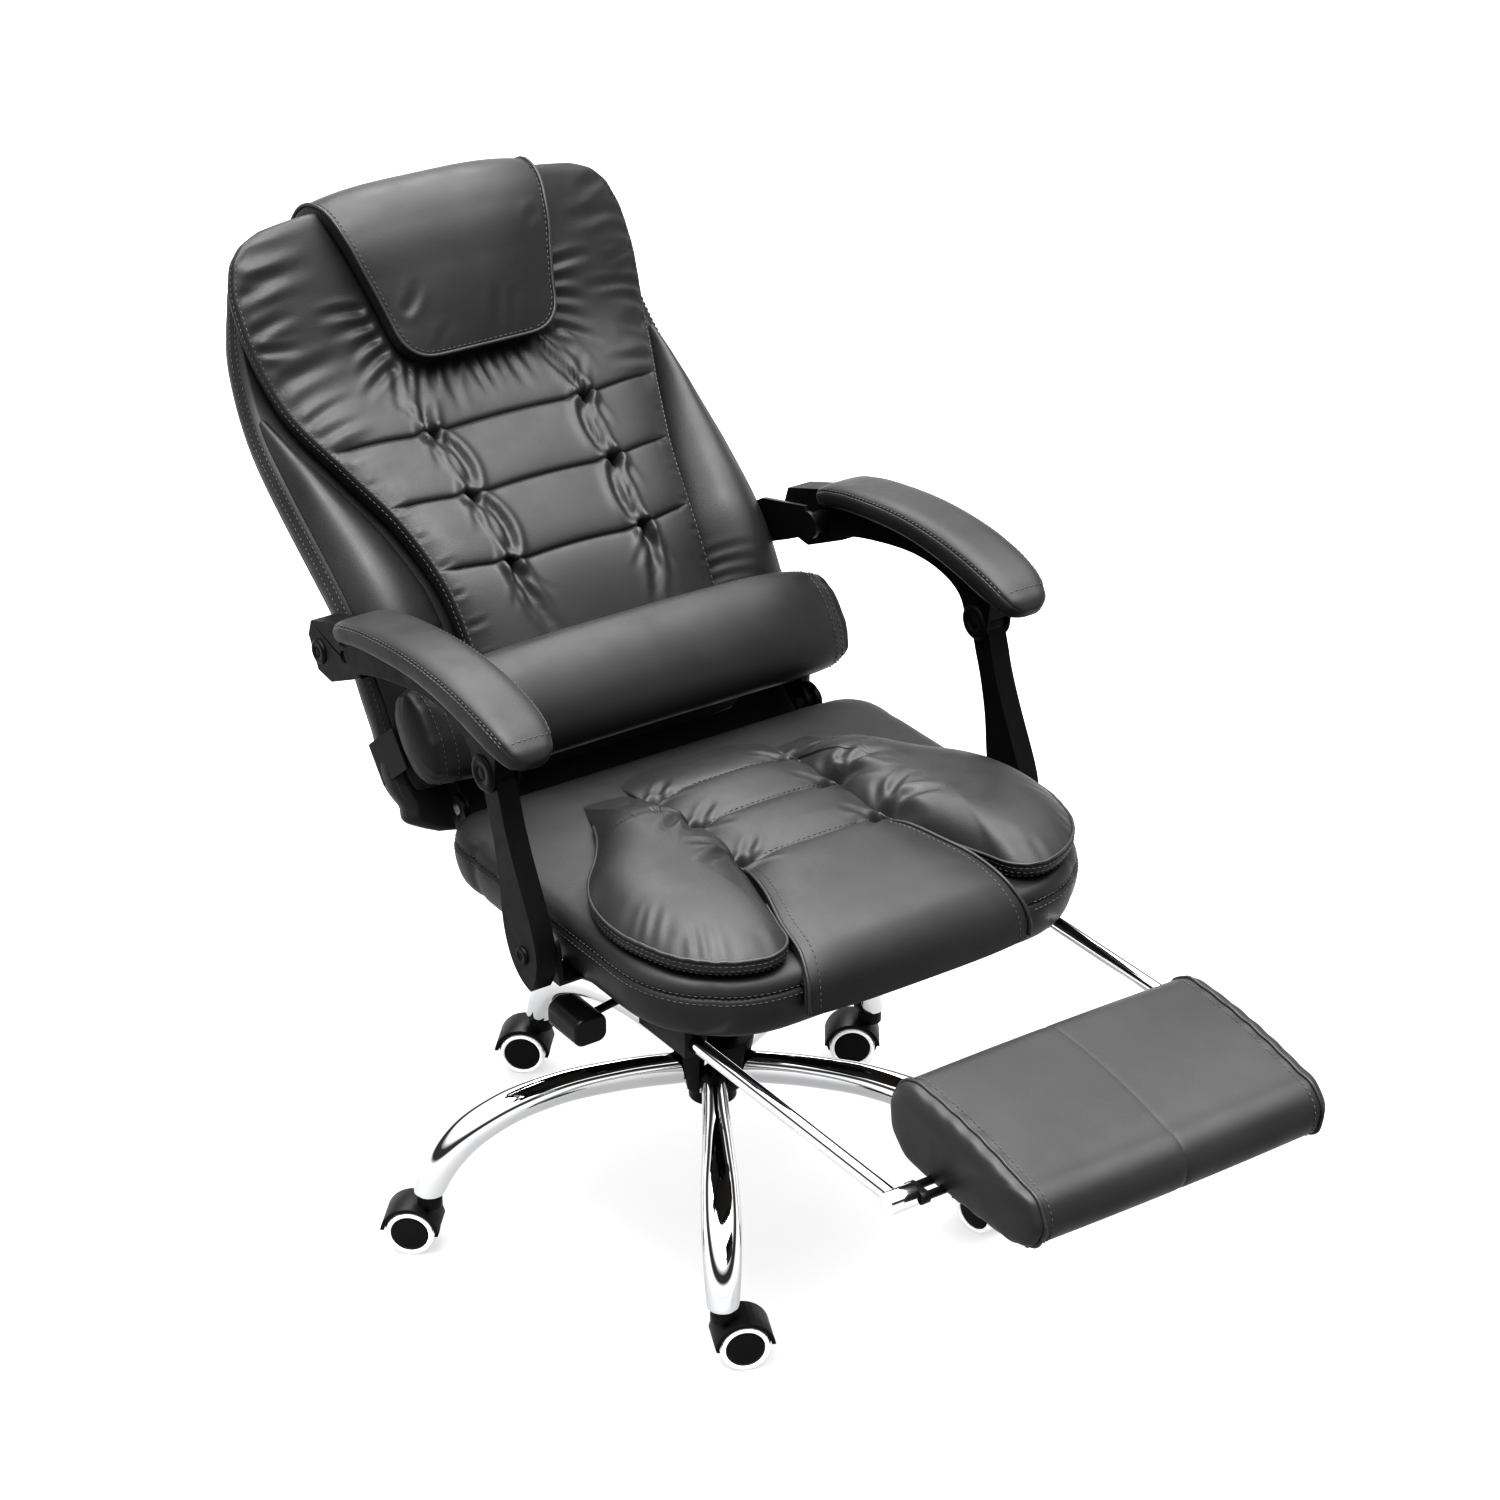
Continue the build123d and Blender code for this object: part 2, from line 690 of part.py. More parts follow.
with BuildPart() as seat_centre_cushion:
    loft([
        crown_section(centre_plane(y, z, slope), half, -depth, -edge, 0, 2)
        for y, z, slope, half, depth, edge in centre_stations
    ])
    add(seat_base_cushion.part, mode=Mode.SUBTRACT)
    for y, z, slope, half, depth, edge in centre_stations[1:4]:
        channel = channel_section(centre_plane(y, z, slope), half + 8, -edge, 0, channel_depth)
        extrude(channel, amount=channel_width / 2, both=True, mode=Mode.SUBTRACT)
    with Locations(*[(s * seat_tuft_x, y, tuft_level + tuft_rise) for y in seat_tuft_y for s in (-1, 1)]):
        Sphere(tuft_radius, mode=Mode.SUBTRACT)
seat_centre_cushion.part.label = "seat_centre_cushion"
export_step(seat_centre_cushion.part, "parts/seat_centre_cushion.step")

# Seat hinge plates: a flange under the board and an ear that rises behind the seat to the hinge axis
flange_bottom = seat_board_bottom - plate_thickness
ear_x = hinge_plate_x + hinge_plate_thickness + seat_gap
ear_front = 20
with BuildPart() as seat_hinge_plates:
    for side in (-1, 1):
        with BuildSketch(Plane.YZ.offset(side * ear_x)):
            Polygon(
                (ear_front, flange_bottom - 5), (seat_rear + 19, flange_bottom - 5),
                (hinge_y + 13, hinge_z - 7), (hinge_y - 13, hinge_z + 7),
                (seat_rear - 1, seat_board_bottom), (ear_front, seat_board_bottom), align=None,
            )
            with Locations((hinge_y, hinge_z)):
                Circle(hinge_eye_radius)
                Circle(pivot_pin_radius, mode=Mode.SUBTRACT)
        extrude(amount=side * hinge_plate_thickness)
        with Locations((side * ear_x, ear_front, flange_bottom)):
            Box(
                30, seat_rear - seat_board_inset - ear_front, plate_thickness,
                align=(Align.MAX if side > 0 else Align.MIN, Align.MIN, Align.MIN),
            )
seat_hinge_plates.part.label = "seat_hinge_plates"
export_step(seat_hinge_plates.part, "parts/seat_hinge_plates.step")

# Recline lock on the left hinge, and the pivot pins of the hinge and the height lever
lock_x = ear_x + hinge_plate_thickness + seat_gap
recline_lever_x = lock_x + lock_thickness + seat_gap
with BuildPart() as recline_lock:
    with BuildSketch(Plane.YZ.offset(lock_x)):
        with Locations((hinge_y, hinge_z)):
            Circle(lock_radius)
            Circle(pivot_pin_radius, mode=Mode.SUBTRACT)
    extrude(amount=lock_thickness)
recline_lock.part.label = "recline_lock"
export_step(recline_lock.part, "parts/recline_lock.step")

with BuildPart() as pivot_pins:
    with BuildSketch(Plane.YZ.offset(hinge_plate_x - 2)):
        with Locations((hinge_y, hinge_z)):
            Circle(pivot_pin_radius)
    extrude(amount=recline_lever_x + recline_lever_thickness + 4 - hinge_plate_x)
    with BuildSketch(Plane.YZ.offset(2 - hinge_plate_x)):
        with Locations((hinge_y, hinge_z)):
            Circle(pivot_pin_radius)
    extrude(amount=hinge_plate_x - lock_x - 2)
    with BuildSketch(Plane.XZ.offset(box_length / 2 - plate_centre_y)):
        with Locations((lever_pivot_x, lever_pivot_z)):
            Circle(pivot_pin_radius / 2)
    extrude(amount=plate_centre_y - box_length / 2 - lever_y - lever_eye_width)
pivot_pins.part.label = "pivot_pins"
export_step(pivot_pins.part, "parts/pivot_pins.step")

# Strut brackets: a strap under the board that turns up beside the seat and carries the strut's pivot stud
bracket_half = 18
strut_inner_x = arm_centre_x - strut_thickness / 2
strut_outer_x = arm_centre_x + strut_thickness / 2
collar_radius_strut = 12
with BuildPart() as strut_brackets:
    for side in (-1, 1):
        with BuildSketch(Plane.YZ.offset(side * strut_bracket_x)):
            Polygon(
                (strut_y - bracket_half, flange_bottom), (strut_y + bracket_half, flange_bottom),
                (strut_y + hinge_eye_radius, strut_z), (strut_y - hinge_eye_radius, strut_z), align=None,
            )
            with Locations((strut_y, strut_z)):
                Circle(hinge_eye_radius)
        extrude(amount=side * bracket_thickness)
        with Locations((side * (strut_bracket_x + bracket_thickness), strut_y, flange_bottom)):
            Box(
                strut_bracket_x + bracket_thickness - rail_x + 20, 2 * bracket_half, plate_thickness,
                align=(Align.MAX if side > 0 else Align.MIN, Align.CENTER, Align.MIN),
            )
        with BuildSketch(Plane.YZ.offset(side * (strut_bracket_x + bracket_thickness))):
            with Locations((strut_y, strut_z)):
                Circle(collar_radius_strut)
        extrude(amount=side * (strut_inner_x - seat_gap - strut_bracket_x - bracket_thickness))
        with BuildSketch(Plane.YZ.offset(side * strut_bracket_x)):
            with Locations((strut_y, strut_z)):
                Circle(pivot_pin_radius)
        extrude(amount=side * (strut_outer_x + 2 - strut_bracket_x))
strut_brackets.part.label = "strut_brackets"
export_step(strut_brackets.part, "parts/strut_brackets.step")

# Rail guides under the front of the seat
guide_half = rail_radius + guide_wall
with BuildPart() as rail_guides:
    for side in (-1, 1):
        with Locations((side * rail_x, guide_front, rail_z - guide_half)):
            Box(
                2 * guide_half, guide_length, seat_board_bottom - rail_z + guide_half,
                align=(Align.CENTER, Align.MIN, Align.MIN),
            )
        with Locations((side * rail_x, guide_front + guide_length / 2, rail_z)):
            Cylinder(
                rail_radius + running_gap, 2 * guide_length, rotation=(90, 0, 0), mode=Mode.SUBTRACT
            )
rail_guides.part.label = "rail_guides"
export_step(rail_guides.part, "parts/rail_guides.step")

# Height lever: a rod on a pin inside the swivel plate, with a paddle under the seat's right edge
rod_run = paddle_x - lever_pivot_x
rod_rise = paddle_z - lever_pivot_z
rod_length = (rod_run**2 + rod_rise**2) ** 0.5
rod_plane = Plane(
    origin=(lever_pivot_x, lever_y, lever_pivot_z), x_dir=(0, 1, 0), z_dir=(rod_run, 0, rod_rise)
)
with BuildPart() as lever_core:
    with BuildSketch(rod_plane):
        Circle(lever_rod_radius)
    extrude(amount=rod_length)
with BuildPart() as height_lever:
    add(lever_core.part)
    with Locations((lever_pivot_x, lever_y, lever_pivot_z)):
        Cylinder(lever_eye_radius, lever_eye_width, rotation=(90, 0, 0))
        Cylinder(
            pivot_pin_radius / 2 + running_gap, 2 * lever_eye_width, rotation=(90, 0, 0), mode=Mode.SUBTRACT
        )
height_lever.part.label = "height_lever"
export_step(height_lever.part, "parts/height_lever.step")

with BuildPart() as height_paddle:
    with Locations((paddle_x, lever_y, paddle_z)):
        Box(paddle_width, paddle_length, paddle_height)
    fillet(height_paddle.edges().filter_by(Axis.Y), paddle_height / 3)
    fillet(height_paddle.faces().sort_by(Axis.Y)[0].edges(), paddle_height / 8)
    add(lever_core.part, mode=Mode.SUBTRACT)
height_paddle.part.label = "height_paddle"
export_step(height_paddle.part, "parts/height_paddle.step")

# Recline lever on the left hinge, with its grip
grip_core_radius = recline_grip_radius - 3
with BuildPart() as recline_lever:
    with BuildSketch(Plane.YZ.offset(recline_lever_x)):
        with BuildLine():
            Polyline(
                (hinge_y, hinge_z), (seat_rear + 13, recline_grip_z + 16), (recline_grip_y, recline_grip_z)
            )
        trace(line_width=2 * recline_grip_radius)
        with Locations((hinge_y, hinge_z)):
            Circle(2 * pivot_pin_radius)
            Circle(pivot_pin_radius + running_gap, mode=Mode.SUBTRACT)
        with Locations((recline_grip_y, recline_grip_z)):
            Circle(recline_grip_radius)
    extrude(amount=recline_lever_thickness)
    with BuildSketch(Plane.YZ.offset(recline_lever_x)):
        with Locations((recline_grip_y, recline_grip_z)):
            Circle(grip_core_radius)
    extrude(amount=recline_grip_end - 8 - recline_lever_x)
recline_lever.part.label = "recline_lever"
export_step(recline_lever.part, "parts/recline_lever.step")

grip_start = recline_lever_x + recline_lever_thickness
with BuildPart() as recline_grip:
    with BuildSketch(Plane.YZ.offset(grip_start)):
        with Locations((recline_grip_y, recline_grip_z)):
            Circle(recline_grip_radius)
    extrude(amount=recline_grip_end - grip_start)
    fillet(recline_grip.edges().sort_by(Axis.X)[-1], 2)
    with BuildSketch(Plane.YZ.offset(grip_start)):
        with Locations((recline_grip_y, recline_grip_z)):
            Circle(grip_core_radius)
    extrude(amount=recline_grip_end - 8 - grip_start, mode=Mode.SUBTRACT)
recline_grip.part.label = "recline_grip"
export_step(recline_grip.part, "parts/recline_grip.step")

# Back board: bent plywood behind the cushion
board_near = cushion_depth + seat_gap
board_far = board_near + back_board_thickness
with BuildPart() as back_board:
    board_band = back_band(back_board_bottom, back_board_top, board_near, board_far)
    extrude(board_band, amount=back_board_half_width, both=True)
back_board.part.label = "back_board"
export_step(back_board.part, "parts/back_board.step")

# The plane behind the cushion and bolsters, where the shell's front begins, cut true along the back
trim_low = -40
trim_high = 650
trim_reach = 300
trim_depth = 12
rear_band = back_band(trim_low, trim_high, cushion_depth, cushion_depth + trim_depth)
front_band = back_band(trim_low, trim_high, board_near - trim_depth, board_near)
with BuildPart() as rear_trim:
    extrude(rear_band, amount=trim_reach, both=True)
with BuildPart() as front_trim:
    extrude(front_band, amount=trim_reach, both=True)

# Back shell: the upholstered rear of the back, with a pocket for the board
shell_stations = (
    (-15, 238, 0.60), (10, 246, 0.88), (100, 250, 1.00), (230, 249, 1.00), (340, 250, 0.97),
    (460, 246, 0.88), (560, 226, 0.76), (600, 206, 0.61), (612, 190, 0.42),
)
shell_bulge = 4
shell_near = board_near - 1
shell_edge_share = 0.6
with BuildPart() as back_shell:
    loft([
        crown_section(
            back_station(height), half, -shell_near, -shell_near - shell_edge_share * share * shell_depth,
            -shell_near - share * shell_depth, shell_bulge,
        )
        for height, half, share in shell_stations
    ])
    add(front_trim.part, mode=Mode.SUBTRACT)
    pocket = back_band(
        back_board_bottom - seat_gap, back_board_top + seat_gap, cushion_depth - 1, board_far + seat_gap
    )
    extrude(pocket, amount=back_board_half_width + seat_gap, both=True, mode=Mode.SUBTRACT)
back_shell.part.label = "back_shell"
export_step(back_shell.part, "parts/back_shell.step")

# Back cushion: a tulip-shaped pad with three sewn channels and two tufts on each
cushion_stations = (
    (20, 134, 12, 0.68), (45, 141, 18, 0.92), (130, 146, 20, 1.00), (220, 151, 20, 1.00),
    (302, 166, 20, 1.00), (380, 193, 22, 1.00), (460, 222, 24, 1.00), (540, 234, 26, 0.96),
    (590, 229, 24, 0.88), (622, 206, 16, 0.60),
)
cushion_bulge = 3
with BuildPart() as back_cushion:
    loft([
        crown_section(back_station(height), half, -share * cushion_depth, -edge, 0, cushion_bulge)
        for height, half, edge, share in cushion_stations
    ])
    add(rear_trim.part, mode=Mode.SUBTRACT)
    for height, half, edge, share in cushion_stations[3:6]:
        channel = channel_section(back_station(height), half + 8, -edge, 0, channel_depth)
        extrude(channel, amount=channel_width / 2, both=True, mode=Mode.SUBTRACT)
    for height, tuft_x in zip(tuft_heights, back_tuft_x):
        with Locations(back_station(height)):
            with Locations((tuft_x, tuft_rise - 3, 0), (-tuft_x, tuft_rise - 3, 0)):
                Sphere(tuft_radius, mode=Mode.SUBTRACT)
back_cushion.part.label = "back_cushion"
export_step(back_cushion.part, "parts/back_cushion.step")

# Side bolsters on the shell, beside the cushion
bolster_stations = (
    (126, 152, 246, 18), (150, 153, 248, 28), (240, 160, 247, 31), (330, 181, 248, 26), (400, 209, 246, 18),
    (440, 225, 243, 8),
)
bolster_edge_share = 0.55
with BuildPart() as back_bolsters:
    for side in (-1, 1):
        loft([
            crown_section(
                back_station(height), (outer - inner) / 2, -cushion_depth - 1,
                rise * bolster_edge_share - cushion_depth, rise - cushion_depth, 1,
                side * (outer + inner) / 2,
            )
            for height, inner, outer, rise in bolster_stations
        ])
    add(rear_trim.part, mode=Mode.SUBTRACT)
back_bolsters.part.label = "back_bolsters"
export_step(back_bolsters.part, "parts/back_bolsters.step")

# Headrest: a pad on the top of the back, whose flap hangs over to the rear
headrest_rear = 0.5
headrest_lift = 3
headrest_stations = (
    (457, 84, headrest_lift, 8, 12), (480, 96, headrest_rear, 24, 33), (540, 108, headrest_rear, 28, 38),
    (600, 121, headrest_rear, 27, 37), (632, 128, headrest_rear, 20, 30), (652, 118, headrest_lift, 12, 18),
)
flap_thickness = 5
flap_half_width = 100
flap_line = ((644, 14), (668, -14), (667, -62), (640, -103), (570, -118))
with BuildPart() as headrest_pillow:
    loft([
        crown_section(back_station(height), half, rear, edge, front, 3)
        for height, half, rear, edge, front in headrest_stations
    ])
    with BuildSketch(Plane.YZ):
        with BuildLine():
            FilletPolyline(*[back_point(height, offset) for height, offset in flap_line], radius=18)
        trace(line_width=flap_thickness)
    extrude(amount=flap_half_width, both=True)
headrest_pillow.part.label = "headrest_pillow"
export_step(headrest_pillow.part, "parts/headrest_pillow.step")

# Lumbar pillow: a roll across the back, with an elastic strap round the shell
pillow_stations = ((0, 1, 1, 0), (100, 1, 1, 4), (190, 0.95, 0.95, 19), (238, 0.81, 0.79, 35))
pillow_end = (0.51, 0.46, 43)


def pillow_section(x, tall, deep, back_off):
    """Oval section of the lumbar roll, square to X."""
    y, z = back_point(pillow_height, pillow_offset - back_off)
    plane = Plane(origin=(x, y, z), x_dir=(0, *back_up), z_dir=(1, 0, 0))
    return round_section(plane, tall * pillow_tall, deep * pillow_deep)


half_stations = pillow_stations + ((pillow_half_length, *pillow_end),)
full_stations = [(-x, *rest) for x, *rest in reversed(half_stations[1:])] + list(half_stations)
with BuildPart() as lumbar_pillow:
    loft([pillow_section(*station) for station in full_stations])
lumbar_pillow.part.label = "lumbar_pillow"
export_step(lumbar_pillow.part, "parts/lumbar_pillow.step")

strap_x = shell_stations[2][1] + shell_bulge + strap_thickness
strap_rear = face_offset(pillow_height) - shell_near - shell_depth - 2 * strap_thickness
strap_origin = back_point(pillow_height, 0)
strap_plane = Plane(origin=(0, *strap_origin), x_dir=(1, 0, 0), z_dir=(0, -back_up[0], -back_up[1]))
with BuildPart() as lumbar_strap:
    with BuildSketch(strap_plane):
        with BuildLine():
            FilletPolyline(
                (-strap_x, 12), (-strap_x, strap_rear + 24), (-strap_x * 0.58, strap_rear),
                (strap_x * 0.58, strap_rear), (strap_x, strap_rear + 24), (strap_x, 12), radius=18,
            )
        trace(line_width=strap_thickness)
    extrude(amount=strap_width / 2, both=True)
lumbar_strap.part.label = "lumbar_strap"
export_step(lumbar_strap.part, "parts/lumbar_strap.step")

# Back hinge plates: a flange on the board's front and a web down to the hinge axis
flange_low = back_board_bottom + 5
flange_high = 120
flange_near = cushion_depth - 3.5
flange_width = 30
web_middle = (flange_low + flange_high) / 2
web_depth = (flange_near + cushion_depth) / 2
web_line = [(h, face_offset(h) - web_depth) for h in (flange_high, web_middle, flange_low)]
with BuildPart() as back_hinge_plates:
    flange_band = back_band(flange_low, flange_high, flange_near, cushion_depth)
    extrude(flange_band, amount=hinge_plate_x + hinge_plate_thickness, both=True)
    extrude(flange_band, amount=hinge_plate_x - flange_width, both=True, mode=Mode.SUBTRACT)
    for side in (-1, 1):
        with BuildSketch(Plane.YZ.offset(side * hinge_plate_x)):
            Polygon(
                back_point(0, hinge_eye_radius), back_point(60, 8),
                back_point(flange_high, web_line[0][1] + 2),
                *[back_point(*point) for point in web_line], back_point(0, -hinge_eye_radius), align=None,
            )
            with Locations((hinge_y, hinge_z)):
                Circle(hinge_eye_radius)
                Circle(pivot_pin_radius + running_gap, mode=Mode.SUBTRACT)
        extrude(amount=side * hinge_plate_thickness)
back_hinge_plates.part.label = "back_hinge_plates"
export_step(back_hinge_plates.part, "parts/back_hinge_plates.step")

# Arm brackets: plates on the sides of the shell with the stud for the arm's rear pivot
arm_inner_x = arm_centre_x - arm_frame_width / 2
arm_outer_x = arm_centre_x + arm_frame_width / 2
arm_eye_radius = 12
bracket_outline = ((185, -46), (228, -46), (222, 0), (188, 72), (158, 64), (168, 20))
with BuildPart() as arm_brackets:
    for side in (-1, 1):
        with BuildSketch(Plane.YZ.offset(side * arm_bracket_x)):
            Polygon(*[back_point(*point) for point in bracket_outline], align=None)
            with Locations((arm_rear_y, arm_rear_z)):
                Circle(hinge_eye_radius)
        extrude(amount=side * bracket_thickness)
        with BuildSketch(Plane.YZ.offset(side * arm_bracket_x)):
            with Locations((arm_rear_y, arm_rear_z)):
                Circle(arm_eye_radius)
        extrude(amount=side * (arm_inner_x - seat_gap - arm_bracket_x))
        with BuildSketch(Plane.YZ.offset(side * arm_bracket_x)):
            with Locations((arm_rear_y, arm_rear_z)):
                Circle(pivot_pin_radius)
        extrude(amount=side * (arm_outer_x - 2 - arm_bracket_x))
arm_brackets.part.label = "arm_brackets"
export_step(arm_brackets.part, "parts/arm_brackets.step")

# Arms: an arched frame from the rear pivot to the front knuckle, and a pad on it
knuckle_size = 20
trunnion_radius = 5
loop_gap = 0.1
strut_head = 17
arm_top = ((-44, -8), (-22, -3), (9, 15.5), (93, 33), (175, 38.5), (246, 29.5), (288, 15.5))
arm_under = (
    (246, -20), (236, 6), (205, 19), (172, 22), (98, 12), (24, -11), (-12, -27), (-38, -24), (-44, -8)
)
arm_block = ((-72, -3), (-66, 14), (-6, 34), (-6, 8), (34, -10), (-28, -39), (-55, -36))
pad_stations = (
    (2, 27, 36, 22, 9), (16, 33.5, 31, 27, 12), (90, 50, 12, 30, 14), (175, 57, 0, 31, 15),
    (250, 50, -12, 31, 17.5), (302, 36, -27, 27, 18), (332, 22, -46, 15, 10),
)


def arm_point(forward, up):
    """Y and Z of a point of the arm, from its rear pivot."""
    return arm_rear_y - forward, arm_rear_z + up


def arm_pad_plane(x, forward, up, slope):
    """Plane across the arm pad, with local Y upwards."""
    y, z = arm_point(forward, up)
    return Plane(origin=(x, y, z), x_dir=(1, 0, 0), z_dir=(0, -cos(radians(slope)), sin(radians(slope))))


with BuildPart() as arm_pad_left:
    loft([
        round_section(arm_pad_plane(arm_centre_x, forward, up, slope), half, thick)
        for forward, up, slope, half, thick in pad_stations
    ])
arm_pad_left.part.label = "arm_pad_left"
export_step(arm_pad_left.part, "parts/arm_pad_left.step")

with BuildPart() as arm_frame_left:
    with BuildSketch(Plane.YZ.offset(arm_inner_x)):
        with BuildLine():
            Spline(*[arm_point(*point) for point in arm_top])
            Polyline(arm_point(*arm_top[-1]), arm_point(linkage_reach + knuckle_size, -linkage_drop),
                     arm_point(*arm_under[0]))
            Spline(*[arm_point(*point) for point in arm_under])
        make_face()
        Polygon(*[arm_point(*point) for point in arm_block], align=None)
        with Locations((arm_front_y, arm_front_z)):
            Circle(knuckle_size)
        with Locations((arm_rear_y, arm_rear_z)):
            Circle(arm_eye_radius)
            Circle(pivot_pin_radius + running_gap, mode=Mode.SUBTRACT)
        with Locations((arm_front_y, arm_front_z)):
            Circle(trunnion_radius + loop_gap, mode=Mode.SUBTRACT)
    extrude(amount=arm_frame_width)
    with Locations((arm_centre_x, arm_front_y, arm_front_z + knuckle_size)):
        Box(
            strut_thickness + 4 * seat_gap, 2 * knuckle_size + 2, 4 * knuckle_size,
            align=(Align.CENTER, Align.CENTER, Align.MAX), mode=Mode.SUBTRACT,
        )
    add(arm_pad_left.part, mode=Mode.SUBTRACT)
arm_frame_left.part.label = "arm_frame_left"
export_step(arm_frame_left.part, "parts/arm_frame_left.step")

with BuildPart() as arm_frame_right:
    mirror(arm_frame_left.part, about=Plane.YZ)
arm_frame_right.part.label = "arm_frame_right"
export_step(arm_frame_right.part, "parts/arm_frame_right.step")

with BuildPart() as arm_pad_right:
    mirror(arm_pad_left.part, about=Plane.YZ)
arm_pad_right.part.label = "arm_pad_right"
export_step(arm_pad_right.part, "parts/arm_pad_right.step")

# Struts: waisted blades from the seat brackets to the arm knuckles, with a trunnion at the top
strut_front = ((-36, 2), (-4, 25), (55, 23), (110, 15), (145, 14))
strut_back = ((145, -13), (110, -13), (70, -18), (30, -26), (-10, -22), (-36, 2))


def strut_point(along, forward):
    """Y and Z of a point of the strut: along the link from its lower pivot, and in front of it."""
    y = strut_y + (along * link_run - forward * link_rise) / link_length
    z = strut_z + (along * link_rise + forward * link_run) / link_length
    return y, z


with BuildPart() as strut_left:
    with BuildSketch(Plane.YZ.offset(strut_inner_x)):
        with BuildLine():
            Spline(*[strut_point(*point) for point in strut_front])
            Polyline(
                strut_point(*strut_front[-1]), strut_point(link_length, strut_front[-1][1]),
                strut_point(link_length, strut_back[0][1]), strut_point(*strut_back[0]),
            )
            Spline(*[strut_point(*point) for point in strut_back])
        make_face()
        with Locations((arm_front_y, arm_front_z)):
            Circle(strut_head)
        with Locations((strut_y, strut_z)):
            Circle(pivot_pin_radius + running_gap, mode=Mode.SUBTRACT)
    extrude(amount=strut_thickness)
    with BuildSketch(Plane.YZ.offset(arm_inner_x + 2)):
        with Locations((arm_front_y, arm_front_z)):
            Circle(trunnion_radius)
    extrude(amount=arm_frame_width - 4)
strut_left.part.label = "strut_left"
export_step(strut_left.part, "parts/strut_left.step")

with BuildPart() as strut_right:
    mirror(strut_left.part, about=Plane.YZ)
strut_right.part.label = "strut_right"
export_step(strut_right.part, "parts/strut_right.step")

# Footrest rails and the knuckles at their front ends
stub_end = rail_x + 2
knuckle_start = rail_x - knuckle_length / 2
with BuildPart() as footrest_rails:
    for side in (-1, 1):
        with BuildSketch(Plane.XZ.offset(-rail_rear)):
            with Locations((side * rail_x, rail_z)):
                Circle(rail_radius)
        extrude(amount=rail_rear - rail_front)
footrest_rails.part.label = "footrest_rails"
export_step(footrest_rails.part, "parts/footrest_rails.step")

with BuildPart() as footrest_knuckles:
    for side in (-1, 1):
        with BuildSketch(Plane.YZ.offset(side * knuckle_start)):
            with Locations((footrest_axis_y, footrest_axis_z)):
                Circle(knuckle_radius)
        extrude(amount=side * knuckle_length)
    for side in (-1, 1):
        with BuildSketch(Plane.YZ.offset(side * knuckle_start)):
            with Locations((footrest_axis_y, footrest_axis_z)):
                Circle(footrest_stub_radius + running_gap)
        extrude(amount=side * (stub_end + seat_gap - knuckle_start), mode=Mode.SUBTRACT)
    add(footrest_rails.part, mode=Mode.SUBTRACT)
footrest_knuckles.part.label = "footrest_knuckles"
export_step(footrest_knuckles.part, "parts/footrest_knuckles.step")

# Footrest pivot bars: two bars through the board, with an end hub and a stub in each knuckle
hub_end = knuckle_start - seat_gap
hub_start = hub_end - 8
with BuildPart() as footrest_pivot_bars:
    with Locations((0, footrest_axis_y, footrest_axis_z)):
        with Locations((0, footrest_bar_spacing / 2, 0), (0, -footrest_bar_spacing / 2, 0)):
            Cylinder(footrest_bar_radius, 2 * hub_end, rotation=(0, 90, 0))
    for side in (-1, 1):
        with BuildSketch(Plane.YZ.offset(side * hub_start)):
            with Locations((footrest_axis_y, footrest_axis_z)):
                SlotCenterToCenter(footrest_bar_spacing, 3 * footrest_bar_radius)
        extrude(amount=side * (hub_end - hub_start))
        with BuildSketch(Plane.YZ.offset(side * hub_start)):
            with Locations((footrest_axis_y, footrest_axis_z)):
                Circle(footrest_stub_radius)
        extrude(amount=side * (stub_end - hub_start))
footrest_pivot_bars.part.label = "footrest_pivot_bars"
export_step(footrest_pivot_bars.part, "parts/footrest_pivot_bars.step")

# Footrest board and pad
board_rear = 22
board_half = footrest_board_thickness / 2
with BuildPart() as footrest_board:
    with Locations((0, footrest_axis_y + board_rear, footrest_axis_z)):
        Box(
            2 * (footrest_half_width - footrest_board_inset), footrest_board_length, footrest_board_thickness,
            align=(Align.CENTER, Align.MAX, Align.CENTER),
        )
    add(footrest_pivot_bars.part, mode=Mode.SUBTRACT)
footrest_board.part.label = "footrest_board"
export_step(footrest_board.part, "parts/footrest_board.step")

pad_middle = (-30, 38)
pad_bottom = board_half + 1.2
pad_sides = ((0, 1.015), (120, 1.0), (158, 0.985), (footrest_half_width, 0.93))


def footrest_section(x, share):
    """Side outline of the footrest pad, drawn in towards its middle."""
    def at(y, z):
        drawn_y = pad_middle[0] + share * (y - pad_middle[0])
        drawn_z = pad_middle[1] + share * (z - pad_middle[1])
        return footrest_axis_y + drawn_y, footrest_axis_z + drawn_z

    with BuildSketch(Plane.YZ.offset(x)) as section:
        with BuildLine():
            Line(at(-116, pad_bottom), at(38, pad_bottom))
            ThreePointArc(at(38, pad_bottom), at(82, 34), at(48, 79))
            ThreePointArc(at(48, 79), at(-30, 72), at(-107, 55))
            ThreePointArc(at(-107, 55), at(-138, 34), at(-116, pad_bottom))
        make_face()
    return section.sketch


full_sides = [(-x, share) for x, share in reversed(pad_sides[1:])] + list(pad_sides)
seam_share = 0.97
with BuildPart() as pad_seam:
    extrude(footrest_section(-channel_width / 2, 2 - seam_share), amount=channel_width)
    extrude(footrest_section(-channel_width / 2, seam_share), amount=channel_width, mode=Mode.SUBTRACT)
with BuildPart() as footrest_pad:
    loft([footrest_section(x, share) for x, share in full_sides])
    add(pad_seam.part, mode=Mode.SUBTRACT)
footrest_pad.part.label = "footrest_pad"
export_step(footrest_pad.part, "parts/footrest_pad.step")
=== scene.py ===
import cmath
import json
import math
import random

